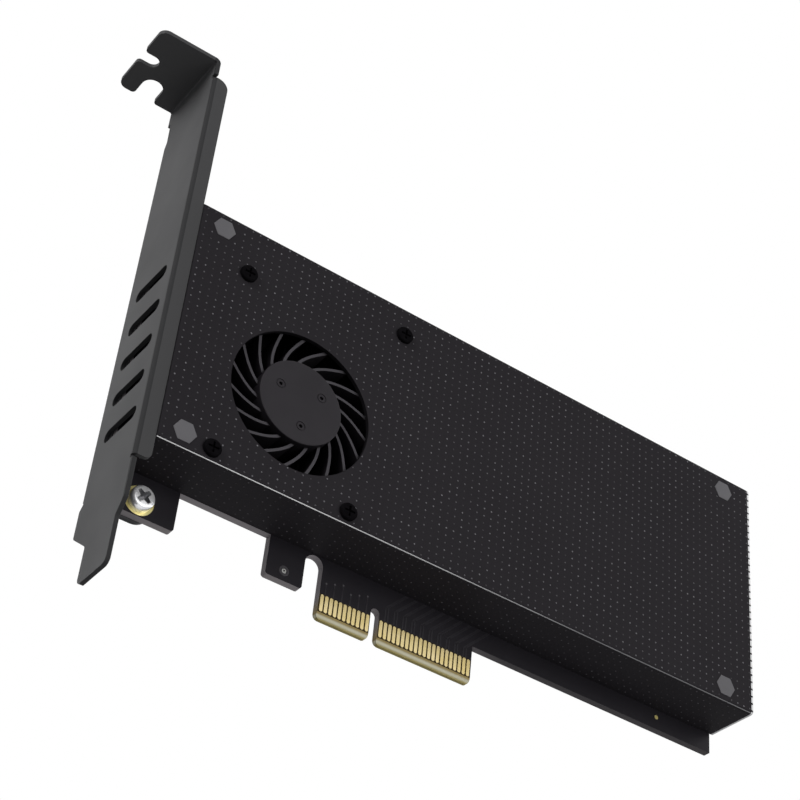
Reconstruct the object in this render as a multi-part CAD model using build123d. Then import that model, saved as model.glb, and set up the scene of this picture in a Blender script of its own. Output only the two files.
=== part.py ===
"""A storage adapter card for a full-height expansion slot, with a folded sheet cover
and a small centrifugal blower. Sizes are in millimetres.

The origin is the middle of the key slot at the lower edge of the gold contacts, on the
middle plane of the circuit board. +Z runs from the contacts up, +X runs from the slot
bracket to the far end, and the component side with its cover faces -Y.
"""
import os
from math import atan2, cos, degrees, radians, sin, sqrt

from build123d import *

# Circuit board: thickness, outline and edge features
BOARD_THICK = 1.57
BOARD_LEFT = -56.8
BOARD_RIGHT = 81.95
BOARD_TOP = 67.1
SHOULDER_Z = 8.25
NOTCH_TOP_Z = 12.5
HOOK_LEFT = -42.7
HOOK_RIGHT = -23.76
LOWER_TAB_Z = 4.3
RETENTION_LEFT = -15.98
TONGUE_LEFT = -12.15
TONGUE_RIGHT = 22.15
RETENTION_TOP = 12.3
KEY_WIDTH = 1.9
KEY_HEIGHT = 7.0
TONGUE_CORNER = 0.9
EDGE_BEVEL_HEIGHT = 1.35
EDGE_BEVEL_DEPTH = 0.42
BOARD_CORNER = 0.6
BORE_CLEARANCE = 0.15

# Gold edge contacts, the same on both faces
CONTACT_PITCH = 1.0
CONTACT_WIDTH = 0.7
CONTACT_LOW = 1.55
CONTACT_HIGH = 5.1
CONTACT_THICK = 0.05
FIRST_CONTACT_X = -11.5
BEFORE_KEY_COUNT = 11
FIRST_AFTER_KEY_X = 1.5
AFTER_KEY_COUNT = 21

# Folded cover
COVER_SHEET = 0.8
COVER_LEFT = -54.3
COVER_RIGHT = 82.7
COVER_LOW = 12.58
COVER_HIGH = 67.23
COVER_FRONT_Y = -12.81
COVER_BEND = 0.65
SHARPEST_BEND = 0.1
COVER_SEAT_GAP = 0.05
INLET_RADIUS = 14.8

# Hexagonal standoffs that carry the cover, and their screws from the back
STANDOFF_FLATS = 4.1
STANDOFF_LEFT_X = -49.4
STANDOFF_RIGHT_X = 75.4
STANDOFF_LOW_Z = 16.1
STANDOFF_HIGH_Z = 63.6
STANDOFF_PROUD = 0.06
STANDOFF_THREAD_DEPTH = 6.0
STANDOFF_SCREW_R = 1.45
STANDOFF_HEAD_R = 2.7
STANDOFF_HEAD_H = 1.8
STANDOFF_SCREW_REACH = 4.0

# Slot bracket
BRACKET_SHEET = 0.86
BRACKET_OUTER_X = -57.8
BRACKET_FRONT_Y = -12.5
BRACKET_BACK_Y = 5.92
WAIST_Y = 5.15
BRACKET_TOP_Z = 104.66
BRACKET_TIP_Z = -13.3
LIP_BEND = 0.9
TAB_BEND = 1.2
LIP_REACH = 3.4
LIP_LOW_Z = 7.75
LIP_HIGH_Z = 99.6
LIP_LOW_CORNER = 1.2
LIP_HIGH_CORNER = 2.2
RELIEF_BEYOND_BEND = 0.1
RELIEF_LENGTH = 0.8
SHOULDER_BREAK_Z = -1.0
TONGUE_FRONT_Y = -10.4
TONGUE_BACK_Y = -0.2
TIP_CORNER = 1.4
FOOT_CORNER = 1.0
FOOT_TOP_Z = 4.7
NECK_LOW_Z = 92.8
NECK_HIGH_Z = 99.6
EDGE_NOTCH = 0.55
EDGE_NOTCH_RISE = 1.5
TAB_DEPTH = 12.5
TAB_CORNER = 1.8
SCREW_SLOT_WIDTH = 4.42
SCREW_SLOT_CENTRE = 6.55
SCREW_SLOT_DEPTH = 5.8
SCREW_SLOT_MOUTH = 0.8
PEG_SLOT_WIDTH = 3.0
PEG_SLOT_DEPTH = 3.9
PEG_SLOT_Y = -3.9
VENT_COUNT = 5
VENT_PITCH = 8.14
VENT_FIRST_Z = 18.4
VENT_HEIGHT = 2.8
VENT_LENGTH = 11.6
VENT_MIDDLE_Y = -3.8

# Ears behind the board, and the two screws that hold the bracket
EAR_SCREW_X = -50.1
EAR_SCREW_LOW_Z = 7.4
EAR_SCREW_HIGH_Z = 56.45
EAR_HALF_WIDTH = 3.5
EAR_ROOT_BEND = 0.8
EAR_GAP = 0.02
BRACKET_SCREW_R = 1.5
BRACKET_HEAD_R = 2.45
BRACKET_HEAD_H = 1.9
BRACKET_SCREW_REACH = 3.6
RING_OUTER_R = 2.9

# Blower: place, volute and rotor
FAN_X = -28.0
FAN_Z = 33.55
HUB_RADIUS = 8.77
HUB_FACE_Y = -12.8
HUB_WALL = 0.8
HUB_FACE_THICK = 1.0
HUB_EDGE = 0.25
SHAFT_SEAT_WALL = 1.0
SHAFT_SEAT_DEPTH = 2.0
SHAFT_END_DEPTH = 0.6
PRESS_GAP = 0.01
BLADE_COUNT = 19
BLADE_TIP_RADIUS = 15.2
BLADE_THICK = 0.75
BLADE_SWEEP = 29.0
BLADE_PHASE = 7.6
BLADE_CURVE = 1.2
BLADE_HEIGHT = 6.2
COVER_TO_BLADE = 0.3
DIMPLE_RING = 5.1
DIMPLE_RADIUS = 0.38
DIMPLE_DEPTH = 0.5
DIMPLE_GROOVE_R = 1.0
DIMPLE_GROOVE_WIDTH = 0.22
DIMPLE_GROOVE_DEPTH = 0.12
DIMPLE_COUNT = 3
DIMPLE_FIRST_ANGLE = 37.0
TONGUE_GAP = 0.7
VOLUTE_GROWTH = 8.0
HOUSING_SIDE_GAP = 0.1
VOLUTE_START_ANGLE = 35.0
VOLUTE_TURN = 305.0
HOUSING_WALL = 1.0
HOUSING_FLOOR = 1.0
BLADE_TO_FLOOR = 1.0
OUTLET_X = -6.4
HOUSING_TO_COVER = 0.03
EAR_RADIUS = 2.3
EAR_HEIGHT = 3.4

# Blower motor
SHAFT_RADIUS = 0.75
SHAFT_CLEARANCE = 0.03
SHAFT_FLOOR_GAP = 0.4
SLEEVE_RADIUS = 2.0
SLEEVE_SINK = 0.2
SLEEVE_END_GAP = 0.05
SLEEVE_PROUD = 0.2
BOSS_WALL = 0.8
BOSS_SHARE = 0.55
MAGNET_WALL = 0.9
MAGNET_HEIGHT = 4.4
MAGNET_SET_BACK = 0.3
AIR_GAP = 0.4
STATOR_POLES = 4
STATOR_HEIGHT = 2.0
POLE_NECK = 1.5
POLE_SHOE = 0.8
POLE_SHOE_ANGLE = 62.0
COIL_WIDTH = 0.55
MOTOR_BOARD_THICK = 0.6
FIT_GAP = 0.03

# Screws that hold the blower to the cover
FAN_SCREW_R = 0.9
FAN_HEAD_R = 1.75
FAN_HEAD_H = 0.85
FAN_SCREW_REACH = 3.2
FAN_SCREW_PLACES = [(-43.0, 55.9), (-7.9, 60.4), (-43.9, 15.1), (-15.4, 15.1)]

# Fan lead, plug and header
WIRE_RADIUS = 0.38
WIRE_PITCH = 1.25
WIRE_COUNT = 3
WIRE_CLEARANCE = 0.2
HEADER_X = -30.0
HEADER_Z = 61.6
HEADER_WIDTH = 6.9
HEADER_DEPTH = 4.2
HEADER_HEIGHT = 4.3
HEADER_WALL = 0.6
PLUG_OUTSIDE = 1.3
PIN_SIZE = 0.4

# Storage module socket and its row of posts
SOCKET_SEAT_X = -2.0
SOCKET_MIDDLE_Z = 40.0
SOCKET_WIDTH = 22.0
SOCKET_DEPTH = 7.6
SOCKET_HEIGHT = 4.2
MODULE_LIFT = 2.45
MODULE_SLOT_WIDTH = 20.2
MODULE_SLOT_HEIGHT = 1.3
MODULE_SLOT_DEPTH = 4.6
MODULE_KEY_OFFSET = 6.1
MODULE_KEY_WIDTH = 0.9
TAIL_PITCH = 0.5
TAIL_COUNT = 34
TAIL_WIDTH = 0.24
TAIL_LENGTH = 1.0
TAIL_THICK = 0.2
POST_DISTANCES = [30.0, 42.0, 60.0, 80.0]
POST_RADIUS = 2.0
POST_FLANGE_R = 2.75
POST_FLANGE_H = 0.4
POST_BORE_R = 0.95
MODULE_SCREW_HEAD_R = 1.9
MODULE_SCREW_HEAD_H = 0.75
MODULE_SCREW_REACH = 2.6

# Power parts and small parts on the board
REGULATOR_X = 14.0
POWER_Z = 21.0
REGULATOR_SIZE = (5.0, 1.5, 4.0)
REGULATOR_LEADS = 4
REGULATOR_LEAD_PITCH = 1.27
REGULATOR_LEAD_WIDTH = 0.4
REGULATOR_LEAD_THICK = 0.3
REGULATOR_LEAD_REACH = 1.1
REGULATOR_LIFT = 0.1
INDUCTOR_X = 23.0
INDUCTOR_SIDE = 6.0
INDUCTOR_HEIGHT = 3.0
BULK_CAP_RADIUS = 3.15
BULK_CAP_HEIGHT = 5.6
BULK_CAP_PLACES = [(32.5, 21.0), (41.5, 21.0)]
BULK_CAP_BASE = 6.6
BULK_CAP_BASE_H = 1.0
CHIP_CAP_SIZE = (1.6, 0.8, 0.8)
CHIP_RESISTOR_SIZE = (1.0, 0.35, 0.5)
CHIP_ROW_COUNT = 8
CHIP_ROW_X = 2.5
CHIP_ROW_Z = 16.0
CHIP_ROW_PITCH = 2.4
CHIP_GROUP_COUNT = 3
CHIP_GROUP_PITCH = 3.0
CHIP_TO_REGULATOR = 6.0
CHIPS_FROM_SOCKET = 10.0
CHIPS_ABOVE_SOCKET = 3.0
RESISTOR_COUNT = 4
RESISTOR_PITCH = 2.2
RESISTOR_TO_LED = 3.0
LED_SIZE = (1.6, 0.6, 0.8)
LED_PLACES = [(76.5, 25.0), (76.5, 29.0)]

# Plated pads and bare copper rings
PAD_THICK = 0.05
VIA_X = -20.0
VIA_Z = 6.4
VIA_HOLE_R = 0.35
TEST_PAD_X = 67.8
TEST_PAD_Z = 10.9
TEST_PAD_R = 0.45

# Values worked out from the ones above
BOARD_FRONT_Y = -BOARD_THICK / 2
BOARD_BACK_Y = BOARD_THICK / 2
COVER_INNER_Y = COVER_FRONT_Y + COVER_SHEET
BLADE_FRONT_Y = COVER_INNER_Y + COVER_TO_BLADE
BLADE_BACK_Y = BLADE_FRONT_Y + BLADE_HEIGHT
FLOOR_INNER_Y = BLADE_BACK_Y + BLADE_TO_FLOOR
FLOOR_BACK_Y = FLOOR_INNER_Y + HOUSING_FLOOR
HOUSING_FRONT_Y = COVER_INNER_Y + HOUSING_TO_COVER
BRACKET_INNER_X = BRACKET_OUTER_X + BRACKET_SHEET
RELIEF = LIP_BEND + RELIEF_BEYOND_BEND
STANDOFF_PLACES = [
    (x, z) for x in (STANDOFF_LEFT_X, STANDOFF_RIGHT_X) for z in (STANDOFF_LOW_Z, STANDOFF_HIGH_Z)
]
EAR_PLACES = [(EAR_SCREW_X, EAR_SCREW_LOW_Z), (EAR_SCREW_X, EAR_SCREW_HIGH_Z)]
POST_PLACES = [(SOCKET_SEAT_X + d, SOCKET_MIDDLE_Z) for d in POST_DISTANCES]
MAGNET_RADIUS = HUB_RADIUS - HUB_WALL - FIT_GAP
STATOR_RADIUS = MAGNET_RADIUS - MAGNET_WALL - AIR_GAP
BOSS_RADIUS = SLEEVE_RADIUS + FIT_GAP + BOSS_WALL
BOSS_FRONT_Y = FLOOR_INNER_Y - (FLOOR_INNER_Y - HUB_FACE_Y) * BOSS_SHARE
MAGNET_BACK_Y = BLADE_BACK_Y - MAGNET_SET_BACK
MOTOR_MIDDLE_Y = MAGNET_BACK_Y - MAGNET_HEIGHT / 2
SOCKET_HIGH_Z = SOCKET_MIDDLE_Z + SOCKET_WIDTH / 2


def slab(sketch, y_back, y_front):
    """Solid from a sketch drawn in X and Z, between two heights along Y."""
    return extrude(Plane.XZ.offset(-y_back) * sketch, amount=y_back - y_front)


def rod(x, z, radius, y_back, y_front):
    """Round bar along Y."""
    return slab(Pos(x, z) * Circle(radius), y_back, y_front)


def block(x_low, x_high, y_low, y_high, z_low, z_high):
    """Box between two corners."""
    middle = ((x_low + x_high) / 2, (y_low + y_high) / 2, (z_low + z_high) / 2)
    return Pos(*middle) * Box(x_high - x_low, y_high - y_low, z_high - z_low)


def rectangle(x_low, x_high, z_low, z_high):
    """Rectangle between two corners, as a sketch."""
    middle = ((x_low + x_high) / 2, (z_low + z_high) / 2)
    return Pos(*middle) * Rectangle(x_high - x_low, z_high - z_low)


def hexagon(flats):
    """Hexagon with two corners along the first axis, as a sketch."""
    return RegularPolygon(radius=flats / sqrt(3), side_count=6)


def cross_recess(x, z, reach, width, y_face, depth, toward=1):
    """Cross-shaped driver recess cut from a screw's face along Y."""
    y_deep = y_face + depth * toward
    y_low, y_high = sorted((y_face - toward, y_deep))
    tall = block(x - width / 2, x + width / 2, y_low, y_high, z - reach, z + reach)
    wide = block(x - reach, x + reach, y_low, y_high, z - width / 2, z + width / 2)
    return tall + wide


def front_screw(x, z, head_r, head_h, shank_r, y_seat, reach):
    """Pan-head screw whose head faces -Y and whose shank goes towards +Y."""
    head = rod(x, z, head_r, y_seat, y_seat - head_h)
    rim = head.faces().sort_by(Axis.Y)[0].edges()
    head = fillet(rim, min(head_h * 0.45, head_r * 0.3))
    head = head - cross_recess(x, z, head_r * 0.62, head_r * 0.24, y_seat - head_h, head_h * 0.6)
    return head + rod(x, z, shank_r, y_seat + reach, y_seat)


def circuit_board():
    """Board with its contact tongue, hook notch, retention slot and holes."""
    outline = rectangle(BOARD_LEFT, BOARD_RIGHT, NOTCH_TOP_Z, BOARD_TOP)
    outline += rectangle(BOARD_LEFT, HOOK_LEFT, LOWER_TAB_Z, NOTCH_TOP_Z)
    outline += rectangle(HOOK_RIGHT, RETENTION_LEFT, LOWER_TAB_Z, NOTCH_TOP_Z)
    outline += rectangle(RETENTION_LEFT, BOARD_RIGHT, SHOULDER_Z, NOTCH_TOP_Z)
    outline += rectangle(TONGUE_LEFT, TONGUE_RIGHT, 0, SHOULDER_Z)
    slot_r = (TONGUE_LEFT - RETENTION_LEFT) / 2
    slot_x = (TONGUE_LEFT + RETENTION_LEFT) / 2
    outline -= rectangle(RETENTION_LEFT, TONGUE_LEFT, 0, RETENTION_TOP - slot_r)
    outline -= Pos(slot_x, RETENTION_TOP - slot_r) * Circle(slot_r)
    outline -= rectangle(-KEY_WIDTH / 2, KEY_WIDTH / 2, -1, KEY_HEIGHT - KEY_WIDTH / 2)
    outline -= Pos(0, KEY_HEIGHT - KEY_WIDTH / 2) * Circle(KEY_WIDTH / 2)
    tongue_feet = outline.vertices().filter_by(lambda v: abs(v.Y) < 0.001)
    outline = fillet(tongue_feet, TONGUE_CORNER)
    corners = outline.vertices().filter_by(
        lambda v: abs(v.Y - LOWER_TAB_Z) < 0.001 or abs(v.Y - BOARD_TOP) < 0.001
    )
    outline = fillet(corners, BOARD_CORNER)
    for x, z in STANDOFF_PLACES:
        outline -= Pos(x, z) * Circle(STANDOFF_SCREW_R + BORE_CLEARANCE)
    for x, z in EAR_PLACES:
        outline -= Pos(x, z) * Circle(BRACKET_SCREW_R + BORE_CLEARANCE)
    for x, z in POST_PLACES:
        outline -= Pos(x, z) * Circle(POST_RADIUS - 0.3)
    outline -= Pos(VIA_X, VIA_Z) * Circle(VIA_HOLE_R)
    board = slab(outline, BOARD_BACK_Y, BOARD_FRONT_Y)
    for side in (-1, 1):
        face_y = side * BOARD_THICK / 2
        wedge = Polyline(
            (face_y - side * EDGE_BEVEL_DEPTH, 0),
            (face_y, EDGE_BEVEL_HEIGHT),
            (face_y + side, EDGE_BEVEL_HEIGHT),
            (face_y + side, -1),
            (face_y - side * EDGE_BEVEL_DEPTH, -1),
            close=True,
        )
        strip = extrude(Plane.YZ.offset(TONGUE_LEFT - 1) * make_face(wedge), TONGUE_RIGHT - TONGUE_LEFT + 2)
        board -= strip
    return board


def edge_contacts(side):
    """Row of gold contact pads on one face; side is -1 for the front, 1 for the back."""
    pads = []
    starts = [(FIRST_CONTACT_X, BEFORE_KEY_COUNT), (FIRST_AFTER_KEY_X, AFTER_KEY_COUNT)]
    y_board = side * BOARD_THICK / 2
    y_low, y_high = sorted((y_board, y_board + side * CONTACT_THICK))
    middle_z = (CONTACT_LOW + CONTACT_HIGH) / 2
    upright = SlotOverall(CONTACT_HIGH - CONTACT_LOW, CONTACT_WIDTH, rotation=90)
    for first_x, count in starts:
        for i in range(count):
            x = first_x + i * CONTACT_PITCH
            pads.append(slab(Pos(x, middle_z) * upright, y_high, y_low))
    return Compound(children=pads)


def fan_cover():
    """Folded sheet channel over the component side, open at both ends."""
    outer = rectangle(COVER_FRONT_Y, 0, COVER_LOW, COVER_HIGH)
    front_corners = outer.vertices().sort_by(Axis.X)[:2]
    outer = fillet(front_corners, COVER_BEND)
    inner = rectangle(COVER_INNER_Y, 1, COVER_LOW + COVER_SHEET, COVER_HIGH - COVER_SHEET)
    inner_corners = inner.vertices().sort_by(Axis.X)[:2]
    inner = fillet(inner_corners, max(COVER_BEND - COVER_SHEET, SHARPEST_BEND))
    seat_y = BOARD_FRONT_Y - COVER_SEAT_GAP
    profile = outer - inner - rectangle(seat_y, 1, COVER_LOW - 1, COVER_HIGH + 1)
    cover = extrude(Plane.YZ.offset(COVER_LEFT) * profile, COVER_RIGHT - COVER_LEFT)
    cut = Pos(FAN_X, FAN_Z) * Circle(INLET_RADIUS)
    for x, z in STANDOFF_PLACES:
        cut += Pos(x, z) * hexagon(STANDOFF_FLATS + 2 * FIT_GAP)
    for x, z in FAN_SCREW_PLACES:
        cut += Pos(x, z) * Circle(FAN_SCREW_R + BORE_CLEARANCE)
    return cover - slab(cut, COVER_INNER_Y + 0.5, COVER_FRONT_Y - 1)


def cover_standoffs():
    """Four hexagonal standoffs from the board up into the cover's face."""
    posts = []
    for x, z in STANDOFF_PLACES:
        post = slab(Pos(x, z) * hexagon(STANDOFF_FLATS), BOARD_FRONT_Y, COVER_FRONT_Y - STANDOFF_PROUD)
        bore_end_y = BOARD_FRONT_Y - STANDOFF_THREAD_DEPTH
        bore = rod(x, z, STANDOFF_SCREW_R + FIT_GAP, BOARD_FRONT_Y + 1, bore_end_y)
        posts.append(post - bore)
    return Compound(children=posts)


def standoff_screws():
    """Four pan-head screws from the back of the board into the standoffs."""
    screws = []
    for x, z in STANDOFF_PLACES:
        top_y = BOARD_BACK_Y + STANDOFF_HEAD_H
        head = rod(x, z, STANDOFF_HEAD_R, top_y, BOARD_BACK_Y)
        head = fillet(head.faces().sort_by(Axis.Y)[-1].edges(), STANDOFF_HEAD_H * 0.45)
        head -= cross_recess(x, z, STANDOFF_HEAD_R * 0.6, 0.65, top_y, STANDOFF_HEAD_H * 0.6, -1)
        shank = rod(x, z, STANDOFF_SCREW_R, BOARD_BACK_Y, BOARD_FRONT_Y - STANDOFF_SCREW_REACH)
        screws.append(head + shank)
    return Compound(children=screws)


def bracket_face_outline():
    """Flat outline of the bracket's face, drawn in Y and Z."""
    step_back = BRACKET_BACK_Y - TONGUE_BACK_Y
    step_front = TONGUE_FRONT_Y - BRACKET_FRONT_Y
    points = [
        (BRACKET_BACK_Y, BRACKET_TOP_Z),
        (BRACKET_FRONT_Y, BRACKET_TOP_Z),
        (BRACKET_FRONT_Y, SHOULDER_BREAK_Z),
        (TONGUE_FRONT_Y, SHOULDER_BREAK_Z - step_front * 1.4),
        (TONGUE_FRONT_Y, BRACKET_TIP_Z),
        (TONGUE_BACK_Y, BRACKET_TIP_Z),
        (TONGUE_BACK_Y, SHOULDER_BREAK_Z - step_back * 0.72),
        (BRACKET_BACK_Y, SHOULDER_BREAK_Z),
        (BRACKET_BACK_Y, FOOT_TOP_Z),
        (WAIST_Y - EDGE_NOTCH, FOOT_TOP_Z + EDGE_NOTCH_RISE),
        (WAIST_Y, FOOT_TOP_Z + EDGE_NOTCH_RISE),
        (WAIST_Y, NECK_LOW_Z),
        (WAIST_Y - EDGE_NOTCH, NECK_LOW_Z + EDGE_NOTCH_RISE),
        (WAIST_Y - EDGE_NOTCH / 2, NECK_HIGH_Z),
        (BRACKET_BACK_Y, NECK_HIGH_Z),
    ]
    face = make_face(Polyline(*points, close=True))
    tip = face.vertices().filter_by(lambda v: abs(v.Y - BRACKET_TIP_Z) < 0.001)
    face = fillet(tip, TIP_CORNER)
    shoulders = face.vertices().filter_by(lambda v: SHOULDER_BREAK_Z - 6 < v.Y < SHOULDER_BREAK_Z + 0.5)
    face = fillet(shoulders, FOOT_CORNER)
    return face


def slot_bracket():
    """Folded bracket: face with vents, bent tab, bent lip and two ears."""
    outer_plane = Plane.YZ.offset(BRACKET_OUTER_X)
    plate = extrude(outer_plane * bracket_face_outline(), BRACKET_SHEET)

    lip = rectangle(BRACKET_OUTER_X, BRACKET_OUTER_X + LIP_REACH, LIP_LOW_Z, LIP_HIGH_Z)
    free = lip.vertices().sort_by(Axis.X)[-2:].sort_by(Axis.Y)
    lip = fillet(free[1], LIP_HIGH_CORNER)
    free = lip.vertices().filter_by(lambda v: abs(v.Y - LIP_LOW_Z) < 0.001).sort_by(Axis.X)
    lip = fillet(free[-1], LIP_LOW_CORNER)
    plate += slab(lip, BRACKET_FRONT_Y + BRACKET_SHEET, BRACKET_FRONT_Y)

    tab_low_x = BRACKET_OUTER_X - TAB_DEPTH
    tab = rectangle(tab_low_x, BRACKET_INNER_X, BRACKET_FRONT_Y, BRACKET_BACK_Y)
    outer_corners = tab.vertices().sort_by(Axis.X)[:2]
    tab = fillet(outer_corners, TAB_CORNER)
    slot_x = BRACKET_OUTER_X - SCREW_SLOT_CENTRE
    slot_r = SCREW_SLOT_WIDTH / 2
    slot_end_y = BRACKET_BACK_Y - SCREW_SLOT_DEPTH + slot_r
    tab -= rectangle(slot_x - slot_r, slot_x + slot_r, slot_end_y, BRACKET_BACK_Y + 1)
    tab -= Pos(slot_x, slot_end_y) * Circle(slot_r)
    mouth = tab.vertices().filter_by(
        lambda v: abs(v.Y - BRACKET_BACK_Y) < 0.001 and abs(abs(v.X - slot_x) - slot_r) < 0.001
    )
    tab = fillet(mouth, SCREW_SLOT_MOUTH)
    peg_r = PEG_SLOT_WIDTH / 2
    peg_end_x = tab_low_x + PEG_SLOT_DEPTH - peg_r
    tab -= rectangle(tab_low_x - 1, peg_end_x, PEG_SLOT_Y - peg_r, PEG_SLOT_Y + peg_r)
    tab -= Pos(peg_end_x, PEG_SLOT_Y) * Circle(peg_r)
    peg_mouth = tab.vertices().filter_by(
        lambda v: abs(v.X - tab_low_x) < 0.001 and abs(abs(v.Y - PEG_SLOT_Y) - peg_r) < 0.001
    )
    tab = fillet(peg_mouth, SCREW_SLOT_MOUTH)
    plate += extrude(Plane.XY.offset(BRACKET_TOP_Z - BRACKET_SHEET) * tab, BRACKET_SHEET)

    for z in (LIP_LOW_Z - RELIEF_LENGTH, LIP_HIGH_Z):
        plate -= block(
            BRACKET_OUTER_X - 1, BRACKET_INNER_X + 1,
            BRACKET_FRONT_Y - 1, BRACKET_FRONT_Y + RELIEF,
            z, z + RELIEF_LENGTH,
        )

    lip_bend = plate.edges().filter_by(Axis.Z).filter_by(
        lambda e: abs(e.center().X - BRACKET_OUTER_X) < 0.001
        and abs(e.center().Y - BRACKET_FRONT_Y) < 0.001
        and e.length > LIP_HIGH_Z - LIP_LOW_Z - 1
    )
    plate = fillet(lip_bend, LIP_BEND)
    tab_bend = plate.edges().filter_by(Axis.Y).filter_by(
        lambda e: abs(e.center().X - BRACKET_INNER_X) < 0.001 and abs(e.center().Z - BRACKET_TOP_Z) < 0.001
    )
    plate = fillet(tab_bend, TAB_BEND)
    tab_inner_bend = plate.edges().filter_by(Axis.Y).filter_by(
        lambda e: abs(e.center().X - BRACKET_OUTER_X) < 0.001
        and abs(e.center().Z - BRACKET_TOP_Z + BRACKET_SHEET) < 0.001
        and e.length > 10
    )
    plate = fillet(tab_inner_bend, TAB_BEND - BRACKET_SHEET)

    ear_low_y = BOARD_BACK_Y + EAR_GAP
    for x, z in EAR_PLACES:
        ear = rectangle(BRACKET_INNER_X - 0.1, x, z - EAR_HALF_WIDTH, z + EAR_HALF_WIDTH)
        ear += Pos(x, z) * Circle(EAR_HALF_WIDTH)
        leaf = slab(ear, ear_low_y + BRACKET_SHEET, ear_low_y)
        plate += leaf
    roots = plate.edges().filter_by(Axis.Z).filter_by(
        lambda e: abs(e.center().X - BRACKET_INNER_X) < 0.001
        and abs(e.center().Y - ear_low_y - BRACKET_SHEET) < 0.001
    )
    plate = fillet(roots, EAR_ROOT_BEND)
    for x, z in EAR_PLACES:
        plate -= rod(x, z, BRACKET_SCREW_R + FIT_GAP, ear_low_y + 2, ear_low_y - 2)
    for i in range(VENT_COUNT):
        z = VENT_FIRST_Z + i * VENT_PITCH
        vent = Pos(VENT_MIDDLE_Y, z) * SlotOverall(VENT_LENGTH, VENT_HEIGHT)
        plate -= extrude(outer_plane * vent, BRACKET_SHEET)
    return plate


def bracket_screws():
    """Two bright pan-head screws through the board into the bracket's ears."""
    y_seat = BOARD_FRONT_Y - PAD_THICK
    screws = []
    for x, z in EAR_PLACES:
        screws.append(
            front_screw(x, z, BRACKET_HEAD_R, BRACKET_HEAD_H, BRACKET_SCREW_R, y_seat, BRACKET_SCREW_REACH)
        )
    return Compound(children=screws)


def plated_pads():
    """Bare gold-plated rings and pads on the board."""
    pads = []
    for x, z in EAR_PLACES:
        ring = Pos(x, z) * (Circle(RING_OUTER_R) - Circle(BRACKET_SCREW_R + BORE_CLEARANCE))
        pads.append(slab(ring, BOARD_FRONT_Y, BOARD_FRONT_Y - PAD_THICK))
    for x, z in STANDOFF_PLACES:
        ring = Pos(x, z) * (Circle(STANDOFF_HEAD_R + 0.4) - Circle(STANDOFF_HEAD_R + 0.02))
        pads.append(slab(ring, BOARD_BACK_Y + PAD_THICK, BOARD_BACK_Y))
    pads.append(rod(TEST_PAD_X, TEST_PAD_Z, TEST_PAD_R, BOARD_FRONT_Y, BOARD_FRONT_Y - PAD_THICK))
    return Compound(children=pads)


def volute_point(turn, extra):
    """Point of the volute's spiral after a turn in degrees, moved outwards by extra."""
    radius = BLADE_TIP_RADIUS + TONGUE_GAP + VOLUTE_GROWTH * turn / VOLUTE_TURN + extra
    angle = radians(VOLUTE_START_ANGLE - turn)
    return (FAN_X + radius * cos(angle), FAN_Z + radius * sin(angle))


def volute_face(extra):
    """Area inside the volute's spiral wall and its outlet, grown by extra, as a sketch."""
    steps = 12
    turns = [VOLUTE_TURN * i / steps for i in range(steps + 1)]
    start = volute_point(0, extra)
    top = volute_point(VOLUTE_TURN, extra)
    spiral = Spline(*[volute_point(t, extra) for t in turns])
    area = make_face(spiral + Line(top, start))
    outlet_low = volute_point(0, 0)[1] - extra
    area += rectangle(FAN_X, OUTLET_X, outlet_low, top[1])
    wall = HOUSING_WALL - extra
    low_z = COVER_LOW + COVER_SHEET + HOUSING_SIDE_GAP + wall
    high_z = COVER_HIGH - COVER_SHEET - HOUSING_SIDE_GAP - wall
    return area & rectangle(COVER_LEFT, OUTLET_X, low_z, high_z)


def blower_housing():
    """Moulded volute: floor, spiral wall, screw ears and the bearing's boss."""
    outside = volute_face(HOUSING_WALL)
    inside = volute_face(0)
    floor = slab(outside, FLOOR_BACK_Y, FLOOR_INNER_Y)
    wall = slab(outside - inside, FLOOR_INNER_Y, HOUSING_FRONT_Y)
    housing = floor + wall
    low_limit = COVER_LOW + COVER_SHEET + HOUSING_SIDE_GAP
    for x, z in FAN_SCREW_PLACES:
        to_fan = Vector(FAN_X - x, FAN_Z - z, 0)
        toward = to_fan.normalized() * (to_fan.length - BLADE_TIP_RADIUS)
        middle = (x + toward.X / 2, z + toward.Y / 2)
        turn = degrees(atan2(toward.Y, toward.X))
        web = Pos(*middle) * Rot(0, 0, turn) * Rectangle(toward.length, 2 * EAR_RADIUS)
        ear = Pos(x, z) * Circle(EAR_RADIUS) + web
        ear -= inside
        ear -= rectangle(COVER_LEFT, COVER_RIGHT, 0, low_limit)
        housing += slab(ear, HOUSING_FRONT_Y + EAR_HEIGHT, HOUSING_FRONT_Y)
    for x, z in FAN_SCREW_PLACES:
        housing -= rod(x, z, FAN_SCREW_R + FIT_GAP, HOUSING_FRONT_Y + FAN_SCREW_REACH, HOUSING_FRONT_Y - 1)
    housing += rod(FAN_X, FAN_Z, BOSS_RADIUS, FLOOR_INNER_Y, BOSS_FRONT_Y)
    housing -= rod(FAN_X, FAN_Z, SLEEVE_RADIUS + FIT_GAP, FLOOR_INNER_Y + SLEEVE_SINK, BOSS_FRONT_Y - 1)
    channel = WIRE_PITCH * (WIRE_COUNT - 1) + 2 * (WIRE_RADIUS + WIRE_CLEARANCE)
    housing -= block(
        HEADER_X - channel / 2, HEADER_X + channel / 2,
        FLOOR_INNER_Y - 0.001, FLOOR_BACK_Y + 1,
        FAN_Z + BOSS_RADIUS + 0.5, HEADER_Z,
    )
    return housing


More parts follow.
